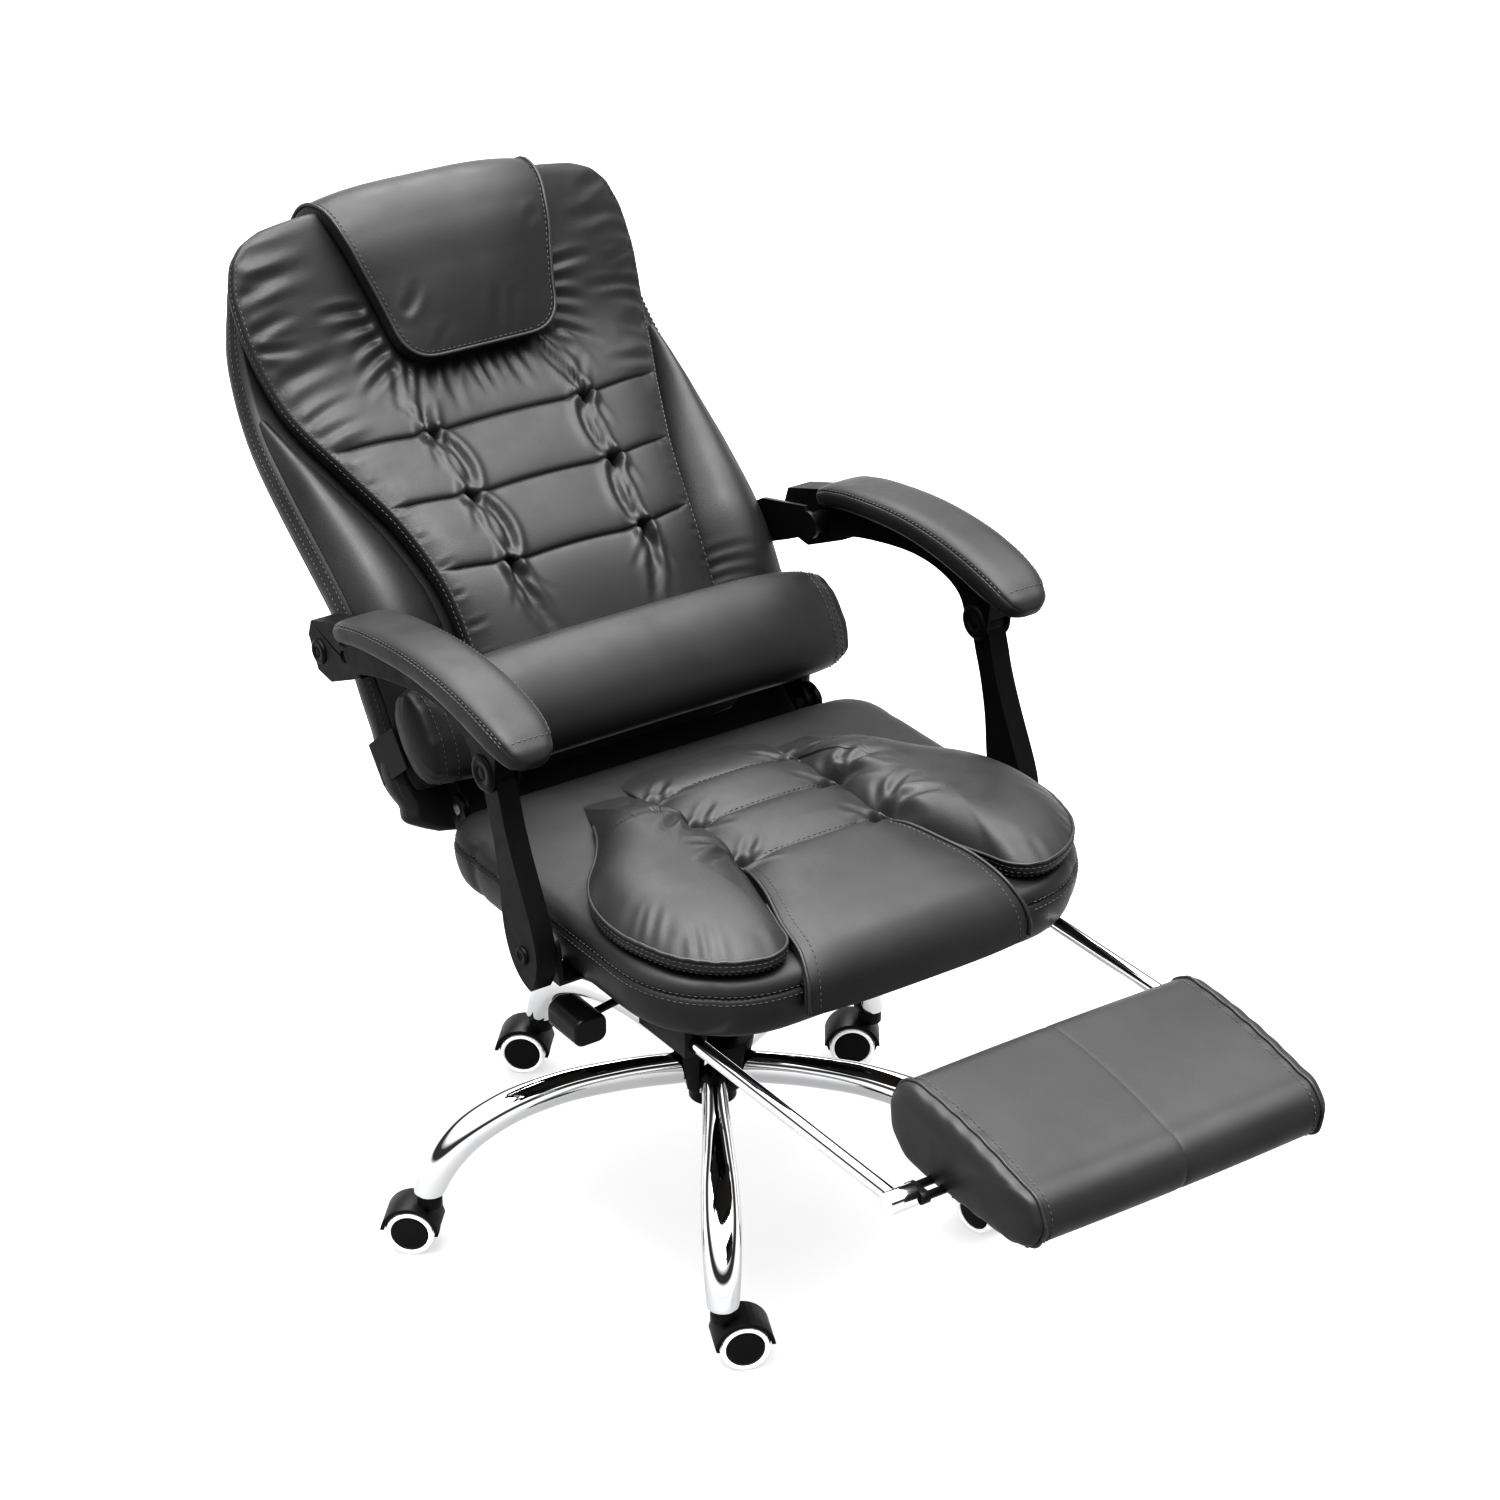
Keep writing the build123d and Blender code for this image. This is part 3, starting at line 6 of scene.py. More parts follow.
import bmesh
import bpy
import numpy as np
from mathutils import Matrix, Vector


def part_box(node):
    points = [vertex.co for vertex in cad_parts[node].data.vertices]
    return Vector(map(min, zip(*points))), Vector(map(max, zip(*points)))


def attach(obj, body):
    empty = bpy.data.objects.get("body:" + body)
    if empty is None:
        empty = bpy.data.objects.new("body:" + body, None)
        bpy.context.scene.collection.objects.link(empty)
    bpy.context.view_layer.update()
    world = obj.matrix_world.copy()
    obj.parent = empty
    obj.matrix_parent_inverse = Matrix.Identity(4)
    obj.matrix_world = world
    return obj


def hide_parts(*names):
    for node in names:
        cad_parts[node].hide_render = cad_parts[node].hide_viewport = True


# Reclining office chair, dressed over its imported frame. Metres, +Z up, the chair faces -Y.
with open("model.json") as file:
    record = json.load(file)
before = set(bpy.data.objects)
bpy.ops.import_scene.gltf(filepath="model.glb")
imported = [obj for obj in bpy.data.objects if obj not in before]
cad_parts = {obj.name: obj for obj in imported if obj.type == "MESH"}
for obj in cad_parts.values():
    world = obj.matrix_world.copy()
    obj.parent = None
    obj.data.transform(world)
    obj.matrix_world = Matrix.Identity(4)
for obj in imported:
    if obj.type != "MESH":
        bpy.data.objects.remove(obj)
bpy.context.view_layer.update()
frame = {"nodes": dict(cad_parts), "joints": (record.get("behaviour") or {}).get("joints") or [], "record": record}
nodes = frame["nodes"]
joints = {joint["name"]: joint for joint in frame["joints"]}
draw = random.Random(11)

# Sizes shared by several pieces
sides = ((1, "left"), (-1, "right"))
hinge = Vector(joints["recline"]["pos_m"])
back_lean = math.radians(39)
cushion_depth = 0.050
seat_tuft_x = 0.084
seat_tuft_y = (-0.017, -0.094, -0.176)
back_tufts = ((0.220, 0.080), (0.302, 0.086), (0.380, 0.0925))
piping_radius = 0.0021
stitch_pitch = 0.0062
stitch_length = 0.0042
stitch_radius = 0.00055
stitch_lift = 0.0002
stitch_dip = 0.0004


# Curves and places

def smooth(table, column, x):
    """Smooth curve through one column of a table whose first column is x."""
    table = np.asarray(table, float)
    xs, ys = table[:, 0], table[:, column]
    slope = np.gradient(ys, xs)
    x = np.clip(np.asarray(x, float), xs[0], xs[-1])
    k = np.clip(np.searchsorted(xs, x) - 1, 0, len(xs) - 2)
    span = xs[k + 1] - xs[k]
    t = (x - xs[k]) / span
    ends = ys[k] * (2 * t**3 - 3 * t**2 + 1) + ys[k + 1] * (3 * t**2 - 2 * t**3)
    return ends + span * (slope[k] * (t**3 - 2 * t**2 + t) + slope[k + 1] * (t**3 - t**2))


def arc(a, b, c, count=16):
    """Points on the circle from a through b to c, without the last one."""
    a, b, c = (complex(*point) for point in (a, b, c))
    w = (c - a) / (b - a)
    centre = a + (b - a) * (w - abs(w) ** 2) / (2j * w.imag)
    middle, turn = (cmath.phase((p - centre) / (a - centre)) % (2 * math.pi) for p in (b, c))
    if middle > turn:
        turn -= 2 * math.pi
    points = [centre + (a - centre) * cmath.rect(1, turn * k / count) for k in range(count)]
    return [(p.real, p.imag) for p in points]


def around(count):
    """Angles of a full turn in equal steps."""
    return np.arange(count) * 2 * np.pi / count


def squarish(wave, power):
    """A sine or cosine, flattened towards a square wave."""
    return np.sign(wave) * np.abs(wave) ** power


def unit(vectors):
    """The vectors at length one."""
    return vectors / np.maximum(np.linalg.norm(vectors, axis=-1, keepdims=True), 1e-12)


def run_length(points):
    """Distance along a line of points, from its first one."""
    return np.concatenate([[0], np.cumsum(np.linalg.norm(np.diff(points, axis=0), axis=1))])


def met(values, along, where):
    """Values met at distances along a line."""
    return np.column_stack([np.interp(where, along, column) for column in values.T])


def spread(points, count, soften=0):
    """A closed outline with evenly spread points, its corners softened by a few averaging rounds."""
    ring = np.vstack([points, points[:1]])
    along = run_length(ring)
    line = met(ring, along, np.linspace(0, along[-1], count, endpoint=False))
    for _ in range(soften):
        line = (np.roll(line, 1, 0) + 2 * line + np.roll(line, -1, 0)) / 4
    return line


back_face = (  # height, out
    (-0.015, 0.014), (0.040, 0.027), (0.130, 0.041), (0.220, 0.046), (0.302, 0.029), (0.380, 0.006),
    (0.460, -0.013), (0.540, -0.004), (0.600, 0.004), (0.660, 0.009),
)


def chord_place(x, height, out):
    """World points from the back's chord: x to the side, height along it, out in front of it."""
    y = hinge.y + height * math.sin(back_lean) - out * math.cos(back_lean)
    z = hinge.z + height * math.cos(back_lean) + out * math.sin(back_lean)
    return np.stack(np.broadcast_arrays(x, y, z), -1)


def back_place(x, height, out):
    """World points from the back's curved face: x to the side, height along it, out square to it."""
    step = 0.001
    face = smooth(back_face, 1, height)
    rise = (smooth(back_face, 1, height + step) - smooth(back_face, 1, height - step)) / (2 * step)
    length = np.sqrt(1 + rise**2)
    return chord_place(x, height - out * rise / length, face + out / length)


# Folds, seams and tufts

def folds(points, strokes):
    """Relief of pulled leather. A stroke is start, bend, end, width, depth and the strength at its end."""
    reach_widths = 4
    lip, lip_place, lip_spread = 0.6, 1.75, 0.7
    relief = np.zeros(len(points))
    t = np.linspace(0, 1, 22)[:, None]
    for start, bend, end, width, depth, strength in strokes:
        start, bend, end = (np.asarray(p, float) for p in (start, bend, end))
        line = (1 - t) ** 2 * start + 2 * t * (1 - t) * bend + t**2 * end
        reach = reach_widths * width
        near = np.all((points > line.min(0) - reach) & (points < line.max(0) + reach), axis=1)
        if not near.any():
            continue
        gap = np.linalg.norm(points[near][:, None, :] - line[None], axis=2)
        share = t[gap.argmin(1), 0]
        x = gap.min(1) / width
        fade = strength + (1 - strength) * np.cos(0.5 * np.pi * share) ** 1.2
        raised = lip * np.exp(-((x - lip_place) ** 2) / lip_spread)
        relief[near] += depth * fade * (raised - np.exp(-(x**2)))
    return relief


def rays(strokes, centre, side, turns):
    """Adds short folds that leave a tuft at loose angles. A turn is degrees, reach, width, depth and bow."""
    centre = np.asarray(centre, float)
    for turn, reach, width, depth, bow in turns:
        heading = math.radians(turn + draw.uniform(-10, 10))
        ahead = np.array((side * math.cos(heading), math.sin(heading)))
        end = centre + reach * ahead
        bend = (centre + end) / 2 + bow * np.array((-ahead[1], ahead[0]))
        strokes.append((centre, bend, end, width, depth, 0.0))


def groove(distance, width, depth):
    """Relief of a sewn seam: a sharp valley."""
    return -depth * np.exp(-np.abs(distance) / width)


def pits(points, centres, radius, depth):
    """Relief of sewn tufts: soft pits."""
    relief = np.zeros(len(points))
    for centre in centres:
        gap = np.linalg.norm(points - np.asarray(centre), axis=1)
        relief -= depth * np.exp(-((gap / radius) ** 1.3))
    return relief


# Meshes and pieces

def new_piece(name, points, faces, body, material, replaced=(), marks=None):
    """A smooth mesh piece that rides on a body and may stand for CAD nodes."""
    mesh = bpy.data.meshes.new(name)
    mesh.from_pydata(np.asarray(points).tolist(), [], faces)
    for finish in (material if isinstance(material, tuple) else (material,)):
        mesh.materials.append(finish)
    if marks is not None:
        mesh.polygons.foreach_set("material_index", marks)
    shape = bmesh.new()
    shape.from_mesh(mesh)
    bmesh.ops.recalc_face_normals(shape, faces=shape.faces)
    shape.to_mesh(mesh)
    shape.free()
    mesh.shade_smooth()
    piece = bpy.data.objects.new(name, mesh)
    bpy.context.scene.collection.objects.link(piece)
    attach(piece, body)
    if replaced:
        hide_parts(*replaced)
    return piece


def bands(rows, count, start=0, closed=False):
    """Quads between rows of loops of points, and back to the first row where they close."""
    faces = []
    for r in range(rows if closed else rows - 1):
        here, there = start + r * count, start + (r + 1) % rows * count
        for c in range(count):
            n = (c + 1) % count
            faces.append((here + c, here + n, there + n, there + c))
    return faces


def skin(name, grid, body, material, replaced=(), finer=0, marks=None):
    """Closed skin over a grid of rows of loops, with a fan to one more point at each end."""
    rows, count = grid.shape[:2]
    points = np.vstack([grid.reshape(-1, 3), grid[0].mean(0), grid[-1].mean(0)])
    faces = bands(rows, count)
    first, last = rows * count, (rows - 1) * count
    for c in range(count):
        n = (c + 1) % count
        faces += [(first, n, c), (first + 1, last + c, last + n)]
    piece = new_piece(name, points, faces, body, material, replaced, marks)
    if finer:
        piece.modifiers.new("finer", "SUBSURF").render_levels = finer
        piece.modifiers["finer"].levels = finer


def cover(name, grid, body, node, finer=1):
    """A padded leather skin that stands for a CAD node."""
    skin(name, grid, body, leather, (node,), finer)


def welt(name, path, radius, body, closed=False):
    """Thin round leather piping along a path."""
    count = 8
    slant = (0.31, 0.17, 0.93)
    ahead = unit(np.roll(path, -1, 0) - np.roll(path, 1, 0) if closed else np.gradient(path, axis=0))
    side = unit(np.cross(ahead, slant))
    up = np.cross(side, ahead)
    angle = around(count)[None, :, None]
    grid = path[:, None] + radius * (np.cos(angle) * side[:, None] + np.sin(angle) * up[:, None])
    if closed:
        faces = bands(len(path), count, closed=True)
        new_piece(name, grid.reshape(-1, 3), faces, body, welt_leather)
    else:
        skin(name, grid, body, welt_leather)


def stitches(name, paths, body):
    """Thread dashes along paths. Each path is points with the outward normals there."""
    dashes = []
    for path, normals in paths:
        along = run_length(path)
        middles = np.arange(stitch_pitch, along[-1] - stitch_pitch / 2, stitch_pitch)
        out = unit(met(normals, along, middles))
        middle = met(path, along, middles) + stitch_lift * out
        reach = stitch_length / 2
        ahead = unit(met(path, along, middles + reach) - met(path, along, middles - reach))
        side = np.cross(ahead, out)
        corners = []
        for end, size, dip in ((-1, 0.55, stitch_dip), (-0.5, 1, 0), (0.5, 1, 0), (1, 0.55, stitch_dip)):
            centre = middle + end * reach * ahead - dip * out
            for across, up in ((-1, 0), (0, 1), (1, 0), (0, -1)):
                corners.append(centre + size * stitch_radius * (across * side + up * out))
        dashes.extend(np.stack(corners, 1))
    points, faces = [], []
    for dash in dashes:
        start = len(points)
        points.extend(dash)
        faces += bands(4, 4, start)
        faces += [tuple(range(start + 3, start - 1, -1)), tuple(range(start + 12, start + 16))]
    new_piece(name, points, faces, body, thread)


def grid_normals(grid):
    """Outward normals of a grid of rows of loops, pointing away from the grid's middle."""
    across = np.roll(grid, -1, 1) - np.roll(grid, 1, 1)
    normal = unit(np.cross(across, np.gradient(grid, axis=0)))
    return normal if (normal * (grid - grid.mean((0, 1)))).sum() >= 0 else -normal


def edge_paths(grid, columns, first, last):
    """Columns of a grid as paths with normals."""
    normals = grid_normals(grid)
    return [(grid[first:last, c], normals[first:last, c]) for c in columns]


def loop_paths(grid, rows):
    """Loops of a grid, closed, as paths with normals."""
    normals = grid_normals(grid)
    return [tuple(np.vstack([values[r], values[r][:1]]) for values in (grid, normals)) for r in rows]


def joined(x, out, side_x, side_out, rear_x, rear_out):
    """Loops made of a front, one side, a rear and the mirrored side."""
    loop_x = np.concatenate([x, side_x, rear_x, -side_x[:, ::-1]], 1)
    return loop_x, np.concatenate([out, side_out, rear_out, side_out[:, ::-1]], 1)


def pad_loops(x, out, half, edge, depth, side_count, rear_count, bulge, taper, inset):
    """Loops of a pad from its front, with bulging sides and a flat rear."""
    s = np.linspace(0, 1, side_count + 2)[1:-1]
    side_x = half + bulge * np.sin(np.pi * s) - taper * s
    side_out = -edge - (depth - edge) * s
    rear_x = (half - inset) * np.linspace(1, -1, rear_count)
    return joined(x, out, side_x, side_out, rear_x, np.broadcast_to(-depth, rear_x.shape))


def ring_grid(outline, centre, rows, place):
    """Rings drawn in towards a centre. A row is the ring's share and a function of its plane points."""
    grid = []
    for share, height in rows:
        ring = np.asarray(centre) + share * (outline - np.asarray(centre))
        grid.append(place(ring, height(ring, share)))
    return np.array(grid)


def lathe(profile, centre, axis, across, up, count):
    """Loops turned about an axis. The profile is radius and place along the axis."""
    centre, axis, across, up = (np.array(v, float) for v in (centre, axis, across, up))
    angle = around(count)[:, None]
    ring = np.cos(angle) * across + np.sin(angle) * up
    return np.array([centre + along * axis + radius * ring for radius, along in profile])


# Materials

def opaque(colour):
    """A colour or a grey with full cover."""
    return (*colour, 1) if isinstance(colour, tuple) else (colour, colour, colour, 1)


def shader(name, colour, roughness, metallic=0.0, **sockets):
    """A new material with its node tree and its principled shader."""
    material = bpy.data.materials.new(name)
    material.use_nodes = True
    surface = material.node_tree.nodes["Principled BSDF"]
    surface.inputs["Base Color"].default_value = opaque(colour)
    surface.inputs["Roughness"].default_value = roughness
    surface.inputs["Metallic"].default_value = metallic
    for socket, value in sockets.items():
        surface.inputs[socket.replace("_", " ")].default_value = value
    return material, material.node_tree, surface


def pattern(tree, kind, scale, **settings):
    """The value of a texture in object coordinates."""
    places = tree.nodes.get("Texture Coordinate") or tree.nodes.new("ShaderNodeTexCoord")
    node = tree.nodes.new("ShaderNodeTex" + kind)
    node.inputs["Scale"].default_value = scale
    for socket, value in settings.items():
        node.inputs[socket].default_value = value
    tree.links.new(places.outputs["Object"], node.inputs["Vector"])
    return node.outputs["Distance" if kind == "Voronoi" else "Fac"]


def vary(tree, surface, socket, source, low, high):
    """Takes one of the shader's inputs from low to high over a texture's value."""
    node = tree.nodes.new("ShaderNodeValToRGB")
    for element, position, value in zip(node.color_ramp.elements, (0.3, 0.7), (low, high)):
        element.position = position
        element.color = opaque(value)
    tree.links.new(source, node.inputs["Fac"])
    tree.links.new(node.outputs["Color"], surface.inputs[socket])


def bump(tree, surface, source, depth, strength, before=None):
    """A bump from a texture's value on the shader, over an earlier bump."""
    node = tree.nodes.new("ShaderNodeBump")
    node.inputs["Distance"].default_value = depth
    node.inputs["Strength"].default_value = strength
    tree.links.new(source, node.inputs["Height"])
    if before is not None:
        tree.links.new(before.outputs["Normal"], node.inputs["Normal"])
    tree.links.new(node.outputs["Normal"], surface.inputs["Normal"])
    return node


def leather_material(name, dark, light, rough):
    """Grained coated leather: fine pebbles, faint creases, and a sheen that varies."""
    material, tree, surface = shader(name, dark, rough, Specular_IOR_Level=0.22)
    vary(tree, surface, "Base Color", pattern(tree, "Noise", 7.0, Detail=3.0), dark, light)
    vary(tree, surface, "Roughness", pattern(tree, "Noise", 38.0, Detail=4.0), rough - 0.05, rough + 0.06)
    pebbles = bump(tree, surface, pattern(tree, "Voronoi", 620.0), 0.0003, 0.22)
    creases = pattern(tree, "Noise", 90.0, Detail=5.0, Roughness=0.6)
    bump(tree, surface, creases, 0.0008, 0.10, pebbles)
    return material


def plastic_material(name, dark, light, rough, glint=0.16):
    """Moulded plastic with a fine spark-eroded grain."""
    material, tree, surface = shader(name, dark, rough, Specular_IOR_Level=glint)
    vary(tree, surface, "Base Color", pattern(tree, "Noise", 12.0, Detail=2.0), dark, light)
    vary(tree, surface, "Roughness", pattern(tree, "Noise", 60.0, Detail=3.0), rough - 0.04, rough + 0.06)
    bump(tree, surface, pattern(tree, "Noise", 1500.0, Detail=2.0), 0.0002, 0.15)
    return material


def metal_material(name, dark, light, low, high, streak):
    """Bare or plated metal with wiped smears in its polish."""
    material, tree, surface = shader(name, light, low, metallic=1.0)
    vary(tree, surface, "Base Color", pattern(tree, "Noise", 9.0, Detail=3.0), dark, light)
    vary(tree, surface, "Roughness", pattern(tree, "Noise", streak, Detail=4.0), low, high)
    return material


def plywood_material():
    """Black-stained plywood board with long grain."""
    material, tree, surface = shader("plywood", (0.03, 0.026, 0.022), 0.6)
    grain = pattern(tree, "Wave", 34.0, Distortion=5.0, Detail=3.0)
    vary(tree, surface, "Base Color", grain, (0.022, 0.018, 0.015), (0.045, 0.038, 0.032))
    bump(tree, surface, grain, 0.0004, 0.2)
    return material


def strap_material():
    """Woven elastic with ribs across it."""
    material, tree, surface = shader("elastic", 0.018, 0.6, Specular_IOR_Level=0.22)
    ribs = pattern(tree, "Wave", 330.0, Distortion=0.4)
    vary(tree, surface, "Base Color", ribs, 0.015, 0.026)
    first = bump(tree, surface, ribs, 0.0005, 0.5)
    bump(tree, surface, pattern(tree, "Voronoi", 900.0), 0.0003, 0.3, first)
    return material


leather = leather_material("leather", (0.017, 0.017, 0.0172), (0.024, 0.024, 0.0243), 0.42)
welt_leather = leather_material("welt_leather", (0.022, 0.022, 0.0225), (0.032, 0.032, 0.0325), 0.36)
thread = plastic_material("thread", (0.040, 0.040, 0.041), (0.075, 0.075, 0.076), 0.5)
arm_plastic = plastic_material("arm_plastic", 0.005, 0.008, 0.42)
black_plastic = plastic_material("black_plastic", 0.006, 0.010, 0.40, 0.25)
tyre_plastic = plastic_material("tyre_plastic", (0.70, 0.70, 0.69), (0.82, 0.82, 0.81), 0.45, 0.45)
black_steel = plastic_material("black_steel", 0.006, 0.010, 0.38, 0.25)
chrome = metal_material("chrome", (0.56, 0.565, 0.57), (0.64, 0.64, 0.645), 0.035, 0.085, 30.0)
bright_steel = metal_material("bright_steel", (0.50, 0.50, 0.51), (0.62, 0.62, 0.63), 0.22, 0.36, 140.0)
by_slot = {
    "black_leather": leather, "arm_plastic": arm_plastic, "black_plastic": black_plastic,
    "caster_wheel": tyre_plastic, "chrome": chrome, "bright_steel": bright_steel, "black_steel": black_steel,
    "plywood": plywood_material(), "elastic_strap": strap_material(),
}
for entry in frame["record"]["subparts"]:
    node = nodes[entry["node"]]
    node.data.materials.clear()
    node.data.materials.append(by_slot[entry["material_slot"]])

# Back cushion: tulip-shaped front pad with three sewn seams, tufts, pulled folds and gathers

cushion_table = (  # height, half width, edge drop, depth
    (0.012, 0.118, 0.010, 0.026), (0.020, 0.131, 0.013, 0.034), (0.045, 0.141, 0.018, 0.046),
    (0.130, 0.146, 0.020, 0.050), (0.220, 0.151, 0.020, 0.050), (0.302, 0.166, 0.020, 0.050),
    (0.380, 0.193, 0.022, 0.050), (0.460, 0.222, 0.024, 0.050), (0.540, 0.235, 0.026, 0.048),
    (0.590, 0.230, 0.025, 0.044), (0.612, 0.219, 0.022, 0.040), (0.626, 0.200, 0.020, 0.034),
    (0.634, 0.172, 0.020, 0.028), (0.638, 0.130, 0.021, 0.025),
)
upper_pulls = ((0.030, 0.076, 0.006, 0.0060), (0.006, 0.060, 0.0045, 0.0038), (-0.022, 0.045, 0.0045, 0.0026))
lower_pulls = (  # lean, length, width, depth
    (0.020, 0.085, 0.006, 0.0060), (0.002, 0.065, 0.0045, 0.0038), (-0.016, 0.050, 0.0042, 0.0032),
    (0.036, 0.045, 0.004, 0.0024),
)
head_edge = 0.456


def tuft_strokes(side):
    """Folds from tuft to tuft, and fans above the highest and below the lowest one."""
    strokes = []
    for (low, low_x), (high, high_x) in zip(back_tufts, back_tufts[1:]):
        start, end = (side * high_x, high), (side * low_x, low)
        x, level = (low_x + high_x) / 2, (low + high) / 2
        strokes.append((start, (side * (x - 0.026), level), end, 0.0060, 0.0058, 0.9))
        strokes.append((start, (side * (x - 0.002), level), end, 0.0036, 0.0034, 0.7))
        bend, end = (side * (x + 0.010), high - 0.02), (side * (x + 0.014), high - 0.045)
        strokes.append((start, bend, end, 0.0045, 0.0030, 0.0))
    fans = ((back_tufts[-1], 1, upper_pulls, 0.1), (back_tufts[0], -1, lower_pulls, 0.0))
    for (height, x), way, pulls, strength in fans:
        for lean, length, width, depth in pulls:
            bend = (side * (x - 0.2 * lean), height + way * length / 2)
            end = (side * (x - lean), height + way * length)
            strokes.append(((side * x, height), bend, end, width, depth, strength))
    return strokes


def edge_strokes(side):
    """Gathers along the cushion's edge: long ones on the shoulder and short ones below it."""
    strokes = []
    for k in range(12):
        height = 0.392 + 0.0195 * k
        edge = smooth(cushion_table, 1, height) - 0.004
        reach = draw.uniform(0.035, 0.085)
        far = height + draw.uniform(-0.012, 0.016)
        width = draw.uniform(0.0045, 0.0095)
        depth = draw.uniform(0.0008, 0.0030)
        bend, end = (side * (edge - reach / 2), far), (side * (edge - reach), far)
        strokes.append(((side * edge, height), bend, end, width, depth, 0.0))
    for k in range(9):
        height = 0.06 + 0.036 * k
        edge = smooth(cushion_table, 1, height) - 0.002
        reach = draw.uniform(0.012, 0.024)
        bend, end = (side * (edge - reach / 2), height), (side * (edge - reach), height + 0.003)
        strokes.append(((side * edge, height), bend, end, 0.0035, draw.uniform(0.0008, 0.0016), 0.0))
    return strokes


def head_strokes():
    """Gathers below the head pad, and a few to its sides."""
    strokes = []
    for k in range(15):
        x = -0.098 + 0.014 * k
        length = draw.uniform(0.028, 0.068)
        lean = draw.uniform(-0.008, 0.008) + 0.22 * x
        bend, end = (x + lean / 2, head_edge - length / 2), (x + lean, head_edge - length)
        width = draw.uniform(0.0036, 0.0058)
        strokes.append(((x, head_edge), bend, end, width, draw.uniform(0.0016, 0.0038), 0.0))
    for side in (-1, 1):
        for k in range(5):
            start = (side * (0.100 + 0.004 * k), 0.462 + 0.016 * k)
            reach = draw.uniform(0.035, 0.06)
            end = (start[0] + side * reach, start[1] - 0.030 + 0.008 * k)
            middle = ((start[0] + end[0]) / 2, (start[1] + end[1]) / 2 + 0.004)
            strokes.append((start, middle, end, 0.0052, draw.uniform(0.0018, 0.0034), 0.0))
    return strokes


def back_cushion():
    """The back cushion's skin and stitches. Its rows follow the sewn seams."""
    across, side_count, rear_count = 150, 9, 22
    seams = [height for height, tuft_x in back_tufts]
    gaps = (0.001, 0.002, 0.0035, 0.0055, 0.008)
    even = np.linspace(cushion_table[0][0], cushion_table[-1][0], 200)
    even = [h for h in even if min(abs(h - seam) for seam in seams) > 0.0095]
    near = [seam + way * gap for seam in seams for gap in gaps for way in (-1, 1)]
    level = np.sort(np.concatenate([even, seams, near]))[:, None]
    bunch = np.pi / 2 * 0.92
    t = np.sin(np.linspace(-1, 1, across) * bunch) / math.sin(bunch)
    tufted = np.clip((level - 0.06) / 0.06, 0, 1) * np.clip((0.52 - level) / 0.10, 0, 1)
    tuft_share = 0.48
    inner = 0.003 * np.cos(np.clip(t / tuft_share, -1, 1) * np.pi / 2)
    outer = 0.016 * np.clip((np.abs(t) - tuft_share) / (1 - tuft_share), 0, 1)
    heights = level + tufted * (inner + outer)
    half, edge, depth = (smooth(cushion_table, k, heights) for k in (1, 2, 3))
    x = half * t
    out = -edge * (0.22 * t**2 + 0.78 * np.abs(t) ** 6)
    flat = np.stack([x, heights], -1).reshape(-1, 2)
    strokes = [stroke for side in (-1, 1) for stroke in tuft_strokes(side) + edge_strokes(side)]
    relief = folds(flat, strokes + head_strokes())
    tufts = [(side * tuft_x, height) for height, tuft_x in back_tufts for side in (-1, 1)]
    relief += pits(flat, tufts, 0.0075, 0.0060)
    limit = (half - np.abs(x)).ravel()
    for seam in seams:
        distance = np.broadcast_to(level - seam, x.shape).ravel()
        sewn = groove(distance, 0.0014, 0.0040) + groove(distance, 0.012, 0.0032)
        relief += sewn * np.clip(limit / 0.02, 0.25, 1)
    swell = np.sin(np.clip((flat[:, 1] - 0.03) / 0.19, 0, 1) * np.pi) * 0.004
    relief += swell * np.clip(limit / 0.05, 0, 1)
    out = out + relief.reshape(out.shape) * np.clip((1 - np.abs(t)) / 0.04, 0.12, 1)
    half, edge, depth, rim = (values[:, -1:] for values in (half, edge, depth, heights))
    loop_x, loop_out = pad_loops(x, out, half, edge, depth, side_count, rear_count, 0.0045, 0.004, 0.006)
    loop_heights = np.concatenate([heights, np.repeat(rim, 2 * side_count + rear_count, 1)], 1)
    grid = back_place(loop_x, loop_heights, loop_out)
    cover("back_cushion_cover", grid, "back", "back_cushion", finer=0)
    columns = (3, across - 4, across + 1, grid.shape[1] - 2)
    stitches("back_cushion_stitches", edge_paths(grid, columns, 12, len(grid) - 9), "back")


back_cushion()

# Back shell: padded rear of the back, with a seam where its side meets the front

shell_table = (  # height, half width, share of the depth
    (-0.020, 0.206, 0.30), (-0.015, 0.230, 0.52), (0.010, 0.246, 0.86), (0.100, 0.250, 1.00),
    (0.230, 0.249, 1.00), (0.340, 0.250, 0.97), (0.460, 0.246, 0.88), (0.560, 0.226, 0.76),
    (0.600, 0.206, 0.60), (0.612, 0.190, 0.46), (0.618, 0.160, 0.30),
)
shell_near = 0.0493
shell_depth = 0.066
shell_roll = 0.007


